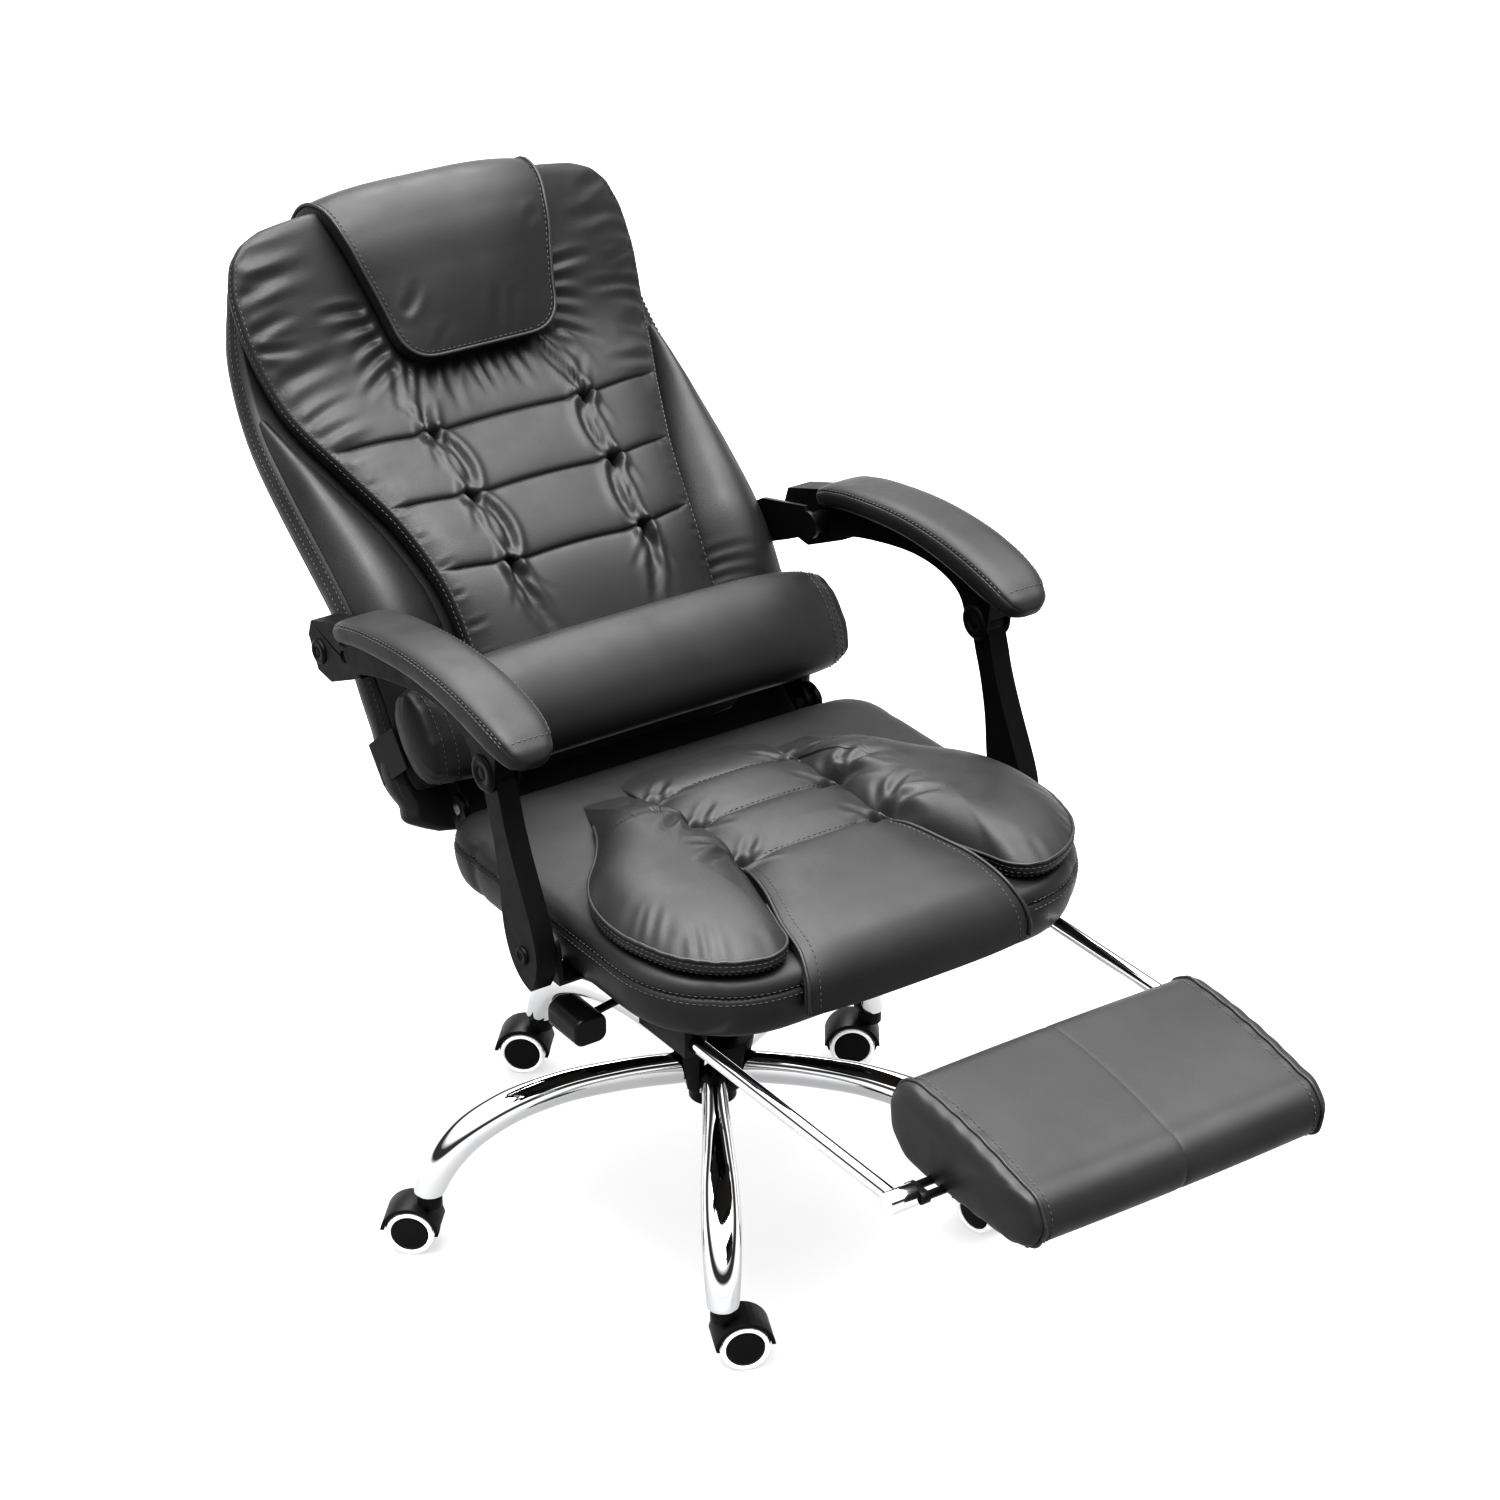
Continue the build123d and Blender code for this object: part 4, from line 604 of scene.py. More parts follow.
def back_shell():
    """The shell's skin and stitches: front, side, crowned rear and the other side."""
    rows, front_count, side_count, rear_count = 110, 40, 16, 60
    heights = np.linspace(shell_table[0][0], shell_table[-1][0], rows)[:, None]
    half, share = (smooth(shell_table, k, heights) for k in (1, 2))
    x = (half - shell_roll) * np.linspace(-1, 1, front_count)
    out = np.broadcast_to(-shell_near, x.shape)
    s = np.linspace(0, 1, side_count)
    wall = 0.58 * share * shell_depth
    seam = groove(s - 0.18, 0.05, 0.0022) + groove(s - 0.86, 0.06, 0.0016)
    side_x = half - shell_roll * (1 - np.clip(s / 0.2, 0, 1)) ** 2 + 0.004 * np.sin(np.pi * s) + seam
    side_out = -shell_near - wall * s
    rear_t = np.linspace(1, -1, rear_count + 2)[1:-1]
    rear_x = half * rear_t
    crown = share * shell_depth - wall
    rear_out = -shell_near - wall - crown * (1 - np.abs(rear_t) ** 2.6)
    for gap in (np.abs(np.abs(rear_x) - 0.76 * half), heights - 0.335):
        rear_out = rear_out - groove(gap, 0.0035, 0.0035)
    loop_x, loop_out = joined(x, out, side_x, side_out, rear_x, rear_out)
    grid = back_place(loop_x, heights, loop_out)
    cover("back_shell_cover", grid, "back", "back_shell")
    columns = (front_count + 2, front_count + 5, grid.shape[1] - 3, grid.shape[1] - 6)
    stitches("back_shell_stitches", edge_paths(grid, columns, 6, rows - 6), "back")


back_shell()

# Side bolsters between the cushion and the shell's edge

bolster_table = (  # height, inner x, outer x, rise
    (0.020, 0.150, 0.238, 0.004), (0.030, 0.147, 0.243, 0.012), (0.070, 0.146, 0.246, 0.018),
    (0.126, 0.150, 0.247, 0.024), (0.150, 0.153, 0.248, 0.028), (0.240, 0.160, 0.248, 0.031),
    (0.330, 0.181, 0.248, 0.027), (0.400, 0.209, 0.246, 0.020), (0.440, 0.226, 0.244, 0.010),
    (0.455, 0.233, 0.242, 0.003),
)


def bolster(side, word):
    """One bolster, highest towards its outer edge."""
    rows, across, under = 100, 30, 10
    heights = np.linspace(bolster_table[0][0], bolster_table[-1][0], rows)[:, None]
    inner, outer, rise = (smooth(bolster_table, k, heights) for k in (1, 2, 3))
    s = np.linspace(0, 1, across)
    x = inner + (outer - inner) * s
    out = -cushion_depth + 0.001 + rise * np.sin(np.pi * s**1.25) ** 0.85
    flat = np.stack(np.broadcast_arrays(x, heights), -1).reshape(-1, 2)
    strokes = []
    for k in range(5):
        height = 0.118 + 0.014 * k
        bend, end = (0.175, height + 0.004), (0.195 + 0.006 * k, height - 0.006)
        strokes.append(((0.158, height), bend, end, 0.005, draw.uniform(0.001, 0.0026), 0.0))
    out = out + folds(flat, strokes).reshape(out.shape)
    under_x = inner + (outer - inner) * np.linspace(1, 0, under + 2)[1:-1]
    loop_x = np.concatenate([x, under_x], 1)
    loop_out = np.concatenate([out, np.broadcast_to(-cushion_depth, under_x.shape)], 1)
    grid = back_place(side * loop_x, heights, loop_out)
    cover(f"bolster_{word}", grid, "back", "back_bolsters")


for side, word in sides:
    bolster(side, word)

# Head pad: a gusseted pad that folds over the top of the back, with a welt along its edge

head_line = [(h, float(smooth(back_face, 1, h)) + 0.0015) for h in (0.457, 0.500, 0.545, 0.588)] + [
    (0.614, 0.001), (0.628, -0.012), (0.635, -0.038), (0.632, -0.070), (0.617, -0.096), (0.588, -0.108),
    (0.556, -0.113),
]
head_along = run_length(head_line)
head_path = np.column_stack([head_along, head_line])
head_length = head_along[-1]
head_thick = (  # distance along the path, thickness
    (0, 0.034), (0.06, 0.037), (0.13, 0.036), (0.19, 0.028), (0.24, 0.016), (0.30, 0.010),
    (head_length, 0.007),
)
head_half = (  # distance along the path, half width
    (0, 0.090), (0.05, 0.098), (0.12, 0.115), (0.19, 0.129), (0.24, 0.124), (0.30, 0.112),
    (head_length, 0.104),
)
head_gusset = ((1.012, 0.55), (1.02, 0.40), (1.018, 0.24), (1.005, 0.10), (0.985, 0.02))


def head_place(x, along, out):
    """World points over the path that the head pad lies on."""
    step = 0.002
    inside = np.clip(along, step, head_length - step)
    ahead = [smooth(head_path, k, inside + step) - smooth(head_path, k, inside - step) for k in (1, 2)]
    length = np.hypot(*ahead)
    past = along - inside
    height = smooth(head_path, 1, inside) + (past * ahead[0] - out * ahead[1]) / length
    front = smooth(head_path, 2, inside) + (past * ahead[1] + out * ahead[0]) / length
    return chord_place(x, height, front)


def head_outline(count):
    """Outline of the head pad in x and the distance along its path, with round lower corners."""
    corner, top_corner = 0.034, 0.02
    low = float(smooth(head_half, 1, corner))
    right = arc((low - corner, 0), (low - 0.29 * corner, 0.29 * corner), (low, corner), 10)
    for along in np.linspace(corner, head_length - top_corner, 40):
        right.append((float(smooth(head_half, 1, along)), along))
    right.append((float(smooth(head_half, 1, head_length)) - top_corner, head_length))
    left = [(-x, along) for x, along in reversed(right)]
    return spread(right + left, count, 3)


def head_pad():
    """The head pad's skin, welt and stitches."""
    outline = head_outline(150)
    top_rows, stitch_row = 40, 36
    strokes = [
        ((-0.078, 0.055), (-0.070, 0.062), (-0.058, 0.085), 0.006, 0.0022, 0.0),
        ((0.020, 0.006), (0.022, 0.03), (0.026, 0.062), 0.006, 0.0024, 0.0),
        ((0.038, 0.006), (0.040, 0.03), (0.046, 0.056), 0.005, 0.0018, 0.0),
        ((-0.052, 0.008), (-0.048, 0.018), (-0.036, 0.032), 0.005, 0.0018, 0.0),
        ((0.100, 0.120), (0.090, 0.122), (0.080, 0.110), 0.005, 0.0016, 0.0),
    ]

    def top(ring, share):
        thick = smooth(head_thick, 1, ring[:, 1])
        return thick * (1 - 0.34 * share**3.2) + folds(ring, strokes) * (1 - share**8)

    def side(level):
        return lambda ring, share: smooth(head_thick, 1, ring[:, 1]) * level

    rows = [(share, top) for share in 1 - (1 - np.linspace(0.02, 1, top_rows)) ** 1.35]
    rows += [(share, side(level)) for share, level in head_gusset]
    rows += [(share, side(0.0)) for share in (0.9, 0.7, 0.45, 0.2, 0.03)]
    grid = ring_grid(outline, (0, 0.105), rows, lambda ring, out: head_place(ring[:, 0], ring[:, 1], out))
    cover("head_pad", grid, "back", "headrest_pillow")
    seam = grid[top_rows - 1] + 0.0006 * grid_normals(grid)[top_rows - 1]
    welt("head_pad_welt", seam, piping_radius, "back", closed=True)
    stitches("head_pad_stitches", loop_paths(grid, (stitch_row,)), "back")


head_pad()

# Lumbar roll with sewn end caps

roll_table = (  # x, share of the height, share of the depth, drop
    (0.000, 1.00, 1.00, 0.000), (0.100, 1.00, 1.00, 0.004), (0.190, 0.965, 0.96, 0.018),
    (0.228, 0.90, 0.89, 0.030), (0.246, 0.83, 0.81, 0.036),
)
roll_caps = ((0.2505, 0.80), (0.2535, 0.72), (0.2565, 0.56), (0.2585, 0.36), (0.2595, 0.12))
roll_end, roll_share = roll_table[-1][:2]
roll_height, roll_out = 0.074, 0.077
roll_tall, roll_deep = 0.059, 0.039


def lumbar_roll():
    """The roll's skin, in loops along X, and the stitches of its end seams."""
    angle = around(84)
    caps = len(roll_caps)
    stations = [(-x, share) for x, share in reversed(roll_caps)]
    stations += [(x, roll_share) for x in np.linspace(-roll_end, roll_end, 90)] + list(roll_caps)
    rows = []
    for x, share in stations:
        tall, deep, drop = (float(smooth(roll_table, k, min(abs(x), roll_end))) for k in (1, 2, 3))
        swell = 1 + 0.018 * np.sin(9 * angle + 3 * np.sign(x)) * np.exp(-((abs(x) - 0.246) / 0.016) ** 2)
        swell += 0.010 * np.sin(17 * angle + 1.3) * np.exp(-((abs(x) - 0.250) / 0.010) ** 2)
        swell *= share / roll_share * (1 + groove(abs(x) - roll_end, 0.003, 0.035))
        up = roll_tall * tall * squarish(np.cos(angle), 0.92) * swell
        forward = roll_deep * deep * squarish(np.sin(angle), 0.92) * swell
        rows.append(chord_place(x, roll_height + up, roll_out - drop + forward))
    grid = np.array(rows)
    cover("lumbar_roll", grid, "back", "lumbar_pillow")
    seams = (caps + 3, caps + 1, len(grid) - caps - 4, len(grid) - caps - 2)
    stitches("lumbar_roll_stitches", loop_paths(grid, seams), "back")


lumbar_roll()

# Seat base: upholstered box with a seam round its side

seat_half, seat_front, seat_rear = 0.258, -0.345, 0.105
front_corner, rear_corner = 0.120, 0.045
board_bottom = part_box("seat_board")[0].z
base_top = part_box("seat_base_cushion")[1].z
base_dome = 0.010
cover_thickness = 0.0007
base_under = ((0.003, 0.048), (-cover_thickness, 0.047), (-cover_thickness, 0.034), (-cover_thickness, 0.018))
base_side = (  # rise, inset
    (0.0005, 0.0138), (0.004, 0.0095), (0.010, 0.0062), (0.018, 0.0030), (0.028, 0.0008), (0.036, -0.0003),
    (0.042, 0.0000), (0.0445, 0.0008), (0.0460, 0.0022), (0.0470, 0.0042), (0.0480, 0.0026), (0.0500, 0.0014),
    (0.0540, 0.0016), (0.0580, 0.0035), (0.0615, 0.0065), (0.0645, 0.0115), (0.0665, 0.018), (0.0677, 0.026),
)


def seat_outline(count):
    """Plan outline of the seat, evenly spread."""
    near = 1 - math.sin(math.radians(45))
    h, f, r, big, small = seat_half, seat_front, seat_rear, front_corner, rear_corner
    right = arc((h - big, f), (h - near * big, f + near * big), (h, f + big), 20)
    right += [(h, f + big)]
    right += arc((h, r - small), (h - near * small, r - near * small), (h - small, r), 10) + [(h - small, r)]
    return spread(right + [(-x, y) for x, y in reversed(right)], count, 2)


def seat_base():
    """The seat base's skin and stitches."""
    count, first_side = 220, len(base_under)
    outline = seat_outline(count)
    steps = np.gradient(np.vstack([outline[-1:], outline, outline[:1]]), axis=0)[1:-1]
    outward = unit(np.column_stack([steps[:, 1], -steps[:, 0]]))
    rings = [(outline - inset * outward, board_bottom + rise) for rise, inset in base_under + base_side]
    for share in (0.88, 0.82, 0.74, 0.64, 0.5, 0.25, 0.05):
        rings.append((outline * share, base_top + base_dome * (1 - (share / 0.9) ** 2)))
    grid = np.array([np.column_stack([ring, np.full(count, level)]) for ring, level in rings])
    corners = (
        np.abs(np.abs(outline[:, 0]) - 0.215) + 10 * (outline[:, 1] > -0.2),
        np.abs(outline[:, 1] - 0.035) + 10 * (np.abs(outline[:, 0]) < 0.2),
    )
    cut = sum(groove(gap, 0.0035, 0.0028) for gap in corners)
    grid[first_side:first_side + len(base_side) - 3, :, :2] += (cut[:, None] * outward)[None]
    cover("seat_base", grid, "seat", "seat_base_cushion")
    stitches("seat_base_stitches", loop_paths(grid, (first_side + 11, first_side + 6)), "seat")


seat_base()

# Seat lobes: kidney-shaped pillows with a gathered gusset and a welt

lobe_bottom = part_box("seat_lobe_left")[0].z
lobe_height = 0.047
lobe_middle = np.array((0.150, -0.165))
lobe_inner = 0.0865
lobe_rear, lobe_full = 0.050, -0.085
lobe_rays = (
    (-62, 0.050, 0.006, 0.0050, 0.006), (-20, 0.062, 0.0055, 0.0052, 0.006),
    (22, 0.055, 0.005, 0.0040, 0.006), (66, 0.040, 0.005, 0.0034, 0.006),
)
lobe_gusset = (  # share of the outline, share of the height
    (1.004, 0.32), (1.010, 0.27), (1.012, 0.22), (1.006, 0.17), (1.004, 0.14), (0.995, 0.08), (0.97, 0.03),
    (0.93, 0.004), (0.8, 0.002), (0.55, 0.002), (0.3, 0.002), (0.04, 0.002),
)


def lobe_outline(count):
    """Plan outline of the left lobe, scalloped from tuft to tuft along the centre."""
    points = [(lobe_inner, lobe_rear), (0.110, lobe_rear + 0.002)]
    points += arc((0.134, lobe_rear), (0.167, -0.050), (0.213, -0.111), 20)
    points += arc((0.213, -0.111), (0.250, -0.190), (0.243, -0.258), 20)
    points += arc((0.243, -0.258), (0.216, -0.308), (0.168, -0.335), 16)
    points += arc((0.168, -0.335), (0.142, -0.331), (0.124, -0.300), 10)
    points += arc((0.124, -0.300), (0.103, -0.235), (lobe_inner, -0.176), 12)
    stops = sorted(seat_tuft_y) + [lobe_rear]
    scallop, steps = 0.011, 8
    for near, far in zip(stops, stops[1:]):
        for k in range(steps):
            x = lobe_inner - scallop * math.sin(math.pi * k / steps)
            points.append((x, near + (far - near) * k / steps))
    return spread(points, count, 3)


def lobe_fade(y):
    """Share of the full height: the lobes thin out towards the rear."""
    share = np.clip((y - lobe_full) / (lobe_rear - lobe_full), 0, 1)
    return 1 - 0.86 * share**2 * (3 - 2 * share)


def lobe_strokes(outline):
    """Folds from the tufts, two channel seams, and gathers along the front edge."""
    strokes = []
    for y in seat_tuft_y:
        rays(strokes, (seat_tuft_x, y), 1, lobe_rays)
    for y, tilt in ((-0.094, 0.014), (-0.017, 0.022)):
        strokes.append(((seat_tuft_x, y), (0.12, y + tilt), (0.165, y + tilt * 1.5), 0.0028, 0.0020, 0.5))
    for point in outline[::4]:
        if point[1] > -0.22 or point[0] < 0.135 or draw.random() < 0.25:
            continue
        inward = unit(lobe_middle - point)
        reach = draw.uniform(0.012, 0.045)
        start = point + 0.003 * inward
        bend, end = start + 0.5 * reach * inward, start + reach * inward
        width = draw.uniform(0.003, 0.007)
        strokes.append((start, bend, end, width, draw.uniform(0.0006, 0.0022), 0.0))
    return strokes


def lobe(side, word):
    """One seat lobe: skin, welt and stitches."""
    count, top_rows = 220, 44
    outline = lobe_outline(count)
    strokes = lobe_strokes(outline)
    tufts = [(seat_tuft_x, y) for y in seat_tuft_y]

    def top(ring, share):
        crown = lobe_height * (1 - 0.08 * share**2 - 0.56 * share**5)
        relief = folds(ring, strokes) + pits(ring, tufts, 0.016, 0.011)
        return lobe_bottom + lobe_fade(ring[:, 1]) * (crown + relief * (1 - 0.6 * share**10))

    def level(share_up):
        return lambda ring, share: lobe_bottom + share_up * lobe_height * lobe_fade(ring[:, 1])

    def place(ring, height):
        return np.column_stack([side * ring[:, 0], ring[:, 1], height])

    rows = [(share, top) for share in 1 - (1 - np.linspace(0.02, 1, top_rows)) ** 1.5]
    rows += [(share, level(share_up)) for share, share_up in lobe_gusset]
    grid = ring_grid(outline, lobe_middle, rows, place)
    sewn = [k for k, (x, y) in enumerate(outline) if y < -0.02 and (x > 0.135 or y < -0.25)]
    first, last = sewn[0], sewn[-1]
    if word == "right":
        grid = grid[:, ::-1]
        first, last = count - 1 - last, count - 1 - first
    cover(f"seat_lobe_{word}_cover", grid, "seat", f"seat_lobe_{word}")
    normals = grid_normals(grid)
    edge = slice(first, last + 1)
    seam = top_rows - 1
    welt(f"seat_lobe_{word}_welt", grid[seam, edge] + 0.0004 * normals[seam, edge], 0.0017, "seat")
    paths = [(grid[row, edge], normals[row, edge]) for row in (seam + 2, seam + 4, seam + 6)]
    stitches(f"seat_lobe_{word}_stitches", paths, "seat")


for side, word in sides:
    lobe(side, word)

# Seat centre: tufted channels that run into a waterfall panel over the front edge

centre_table = (  # distance from the rear, y, z, half width, depth, edge drop
    (0.000, 0.064, 0.4840, 0.0840, 0.004, 0.003), (0.036, 0.030, 0.4950, 0.0845, 0.012, 0.005),
    (0.048, 0.019, 0.4990, 0.0850, 0.018, 0.006), (0.084, -0.017, 0.5080, 0.0860, 0.026, 0.009),
    (0.162, -0.094, 0.5125, 0.0860, 0.031, 0.009), (0.244, -0.176, 0.5120, 0.0865, 0.030, 0.009),
    (0.303, -0.235, 0.5115, 0.0975, 0.030, 0.010), (0.360, -0.290, 0.5050, 0.1140, 0.025, 0.011),
    (0.414, -0.337, 0.4890, 0.1210, 0.018, 0.010), (0.448, -0.356, 0.4640, 0.1270, 0.013, 0.007),
    (0.476, -0.359, 0.4390, 0.1290, 0.011, 0.005), (0.488, -0.357, 0.4280, 0.1270, 0.008, 0.004),
)
centre_rays = ((150, 0.040, 0.005, 0.004, 0), (180, 0.034, 0.005, 0.003, 0), (212, 0.042, 0.005, 0.004, 0))
centre_ray_x = 0.080
seam_bow = 0.008


def centre_place(x, along, out):
    """World points over the seat centre's path: x to the side, along from the rear, out square to it."""
    step = 0.002
    ahead = [smooth(centre_table, k, along + step) - smooth(centre_table, k, along - step) for k in (1, 2)]
    length = np.hypot(*ahead)
    y = smooth(centre_table, 1, along) + out * ahead[1] / length
    z = smooth(centre_table, 2, along) - out * ahead[0] / length
    return np.stack(np.broadcast_arrays(x, y, z), -1)


def bowed(x):
    """How far a channel's seam bows forward of its tufts."""
    return seam_bow * (1 - (x / seat_tuft_x) ** 2)


def seat_centre():
    """The centre panel: skin, welts down its front edges, and light cross stitches."""
    rows, across, side_count, rear_count = 140, 64, 5, 16
    along = np.linspace(centre_table[0][0], centre_table[-1][0], rows)
    half, depth, edge = (smooth(centre_table, k, along)[:, None] for k in (3, 4, 5))
    t = np.linspace(-1, 1, across)
    x = half * t
    out = -edge * (0.35 * t**2 + 0.65 * np.abs(t) ** 5)
    flat = np.stack(np.broadcast_arrays(x, along[:, None]), -1).reshape(-1, 2)
    path = np.array(centre_table)
    seams = [float(a) for a in np.interp(-np.array(seat_tuft_y), -path[:, 1], path[:, 0])]
    relief = pits(flat, [(s * seat_tuft_x, a) for a in seams for s in (-1, 1)], 0.017, 0.010)
    strokes = []
    for a in seams:
        for s in (-1, 1):
            rays(strokes, (s * centre_ray_x, a), s, centre_rays)
    relief += folds(flat, strokes)
    for a in seams:
        distance = flat[:, 1] - a - bowed(flat[:, 0])
        relief += groove(distance, 0.0026, 0.0034) + groove(distance, 0.016, 0.0046)
    inside = np.clip((flat[:, 1] - seams[0]) / 0.02, 0, 1) * np.clip((seams[2] - flat[:, 1]) / 0.02, 0, 1)
    relief += 0.0035 * inside * np.cos(np.clip(flat[:, 0] / 0.09, -1, 1) * np.pi / 2)
    out = out + relief.reshape(out.shape)
    loop_x, loop_out = pad_loops(x, out, half, edge, depth, side_count, rear_count, 0.003, 0, 0.003)
    grid = centre_place(loop_x, along[:, None], loop_out)
    cover("seat_centre_cover", grid, "seat", "seat_centre_cushion")
    normals = grid_normals(grid)
    front = slice(int(np.searchsorted(along, seams[2] + 0.012)), rows - 2)
    for column, word in ((0, "right"), (across - 1, "left")):
        line = grid[front, column] + 0.0010 * normals[front, column]
        welt(f"seat_centre_welt_{word}", line, piping_radius, "seat")
    paths = []
    columns = np.arange(across)
    for a in seams:
        row = np.interp(a + bowed(0.076 * t) - 0.003, along, np.arange(rows))
        low = np.floor(row).astype(int)
        share = (row - low)[:, None]
        paths.append([(1 - share) * v[low, columns] + share * v[low + 1, columns] for v in (grid, normals)])
    paths += [(grid[front, column], normals[front, column]) for column in (3, across - 4)]
    stitches("seat_centre_stitches", paths, "seat")


seat_centre()

# Arm pads

arm_rear = joints["arm_left"]["pos_m"]
arm_pad_table = (  # forward, up, half width, half thickness
    (0.0000, 0.0265, 0.0170, 0.0060), (0.0020, 0.0280, 0.0240, 0.0088), (0.0060, 0.0305, 0.0280, 0.0108),
    (0.0160, 0.0350, 0.0305, 0.0126), (0.0450, 0.0435, 0.0320, 0.0138), (0.0900, 0.0510, 0.0328, 0.0146),
    (0.1750, 0.0570, 0.0335, 0.0156), (0.2500, 0.0500, 0.0335, 0.0178), (0.2850, 0.0420, 0.0325, 0.0183),
    (0.3050, 0.0355, 0.0305, 0.0175), (0.3200, 0.0285, 0.0265, 0.0150), (0.3300, 0.0235, 0.0205, 0.0115),
    (0.3355, 0.0203, 0.0110, 0.0060),
)
arm_seam_degrees = (28, 152)


def arm_pad(side, word):
    """One arm pad: skin and its top stitching."""
    rows, count = 96, 64
    forward = np.linspace(arm_pad_table[0][0], arm_pad_table[-1][0], rows)
    up, half, thick = (smooth(arm_pad_table, k, forward)[:, None] for k in (1, 2, 3))
    slope = np.gradient(up[:, 0], forward)[:, None]
    length = np.sqrt(1 + slope**2)
    angle = around(count)
    gap = np.min([np.abs(angle - math.radians(seam)) for seam in arm_seam_degrees], axis=0)
    pinch = 1 + groove(gap, 0.06, 0.05)
    x = side * arm_rear[0] + half * squarish(np.cos(angle), 0.50) * pinch
    lift = thick * squarish(np.sin(angle), 0.70) * pinch
    y = arm_rear[1] - forward[:, None] + lift * slope / length
    z = arm_rear[2] + up + lift / length
    grid = np.stack([x, y, z], -1)
    cover(f"arm_pad_{word}_cover", grid, f"arm_{word}", f"arm_pad_{word}")
    columns = [round(seam / 360 * count) + k for seam in arm_seam_degrees for k in (-1, 1)]
    stitches(f"arm_pad_{word}_stitches", edge_paths(grid, columns, 6, rows - 5), f"arm_{word}")
    top = slice(columns[1], columns[2] + 1)
    nose = (grid[rows - 6, top], grid_normals(grid)[rows - 6, top])
    stitches(f"arm_pad_{word}_nose_stitches", [nose], f"arm_{word}")


for side, word in sides:
    arm_pad(side, word)

# Footrest pad with a centre seam and welted ends

footrest_axis = Vector(joints["footrest_flip"]["pos_m"])
footrest_middle = np.array((-0.030, 0.038))
footrest_half = 0.157
footrest_low = -0.0056
footrest_caps = (  # x, share of the outline
    (0.160, 0.985), (0.1625, 0.972), (0.165, 0.955), (0.1675, 0.90), (0.170, 0.78), (0.1715, 0.55),
    (0.1720, 0.30), (0.1720, 0.05),
)


def footrest_outline(count):
    """Side outline of the footrest pad about its axis."""
    points = [(-0.108 + 0.0138 * k, footrest_low) for k in range(10)]
    points += arc((0.034, -0.003), (0.080, 0.034), (0.048, 0.079), 22)
    points += arc((0.048, 0.079), (-0.030, 0.072), (-0.107, 0.055), 24)
    points += arc((-0.107, 0.055), (-0.139, 0.030), (-0.1125, -0.003), 16)
    return spread(points, count, 2)


def footrest_pad():
    """The footrest pad's skin, end welts and stitches."""
    count, caps = 130, len(footrest_caps)
    spokes = footrest_outline(count) - footrest_middle
    lowest = footrest_middle[1] + spokes[:, 1].min()
    places = np.sort(np.append(np.linspace(-footrest_half, footrest_half, 81), (-0.0015, 0.0015)))
    stations = [(-x, share) for x, share in reversed(footrest_caps)]
    stations += [(x, 1.012 - 0.018 * (x / footrest_half) ** 2 + groove(x, 0.0018, 0.012)) for x in places]
    rows = []
    for x, share in stations + list(footrest_caps):
        ring = footrest_middle + share * spokes
        if 0.150 < abs(x) < 0.170:
            wave = 0.0007 * np.sin(np.arange(count) * 0.9 + 4 * np.sign(x))
            ring = ring + wave[:, None] * unit(spokes)
        y, z = footrest_axis.y + ring[:, 0], footrest_axis.z + np.maximum(ring[:, 1], lowest)
        rows.append(np.column_stack([np.full(count, x), y, z]))
    grid = np.array(rows)
    cover("footrest_cover", grid, "footrest", "footrest_pad")
    normals = grid_normals(grid)
    ends = ((caps, "right"), (len(grid) - caps - 1, "left"))
    for row, word in ends:
        line = grid[row] + 0.0004 * normals[row]
        welt(f"footrest_welt_{word}", line, 0.0018, "footrest", closed=True)
    stitches("footrest_stitches", loop_paths(grid, (ends[0][0] + 2, ends[1][0] - 2)), "footrest")


footrest_pad()

# Star base: smooth arched legs on the hub

leg_table = (  # share of the reach, share of the rise, slope, width, depth
    (0.00, 0.93, 4, 0.026, 0.036), (0.27, 0.99, 2, 0.028, 0.035), (0.52, 0.97, -7, 0.033, 0.035),
    (0.72, 0.83, -25, 0.039, 0.036), (0.87, 0.58, -44, 0.040, 0.037), (0.96, 0.27, -66, 0.037, 0.036),
    (1.00, 0.00, -90, 0.033, 0.033),
)
leg_start, leg_end = 0.027, 0.309
leg_low, leg_crown = 0.068, 0.163
leg_turn, leg_count = 21.9, 5
leg_lip = ((0.97, 0.0012), (0.90, 0.0018), (0.80, 0.0016), (0.78, -0.006))
hub_radius, hub_bore, hub_half, hub_edge = 0.030, 0.0252, 0.029, 0.001


def star_leg(letter, turn):
    """One chrome leg, rolled in at its lower end."""
    sections, count = 70, 56
    reach, rise, slope, wide, deep = np.array(leg_table).T
    x = leg_start + reach * (leg_end - leg_start)
    z = leg_low + rise * (leg_crown - leg_low)
    along = run_length(np.column_stack([x, z]))
    table = np.column_stack([along, x, z, np.radians(slope), wide / 2, deep / 2])
    at = np.linspace(0, along[-1], sections)
    x, z, slope, wide, deep = (smooth(table, k, at) for k in range(1, 6))
    share, drop = np.array(leg_lip).T
    x = np.append(x, np.full(len(share), leg_end))
    z = np.append(z, leg_low - drop)
    slope, wide, deep = (np.append(v, np.full(len(share), v[-1])) for v in (slope, wide, deep))
    shrink = np.append(np.ones(sections), share)
    angle = around(count)
    across = (wide * shrink)[:, None] * np.cos(angle)
    up = (deep * shrink)[:, None] * np.sin(angle)
    px = x[:, None] - up * np.sin(slope)[:, None]
    pz = z[:, None] + up * np.cos(slope)[:, None]
    c, s = math.cos(turn), math.sin(turn)
    grid = np.stack([c * px - s * across, s * px + c * across, pz], -1)
    skin(f"star_leg_{letter}", grid, "base", chrome, ("base_star",), finer=1)


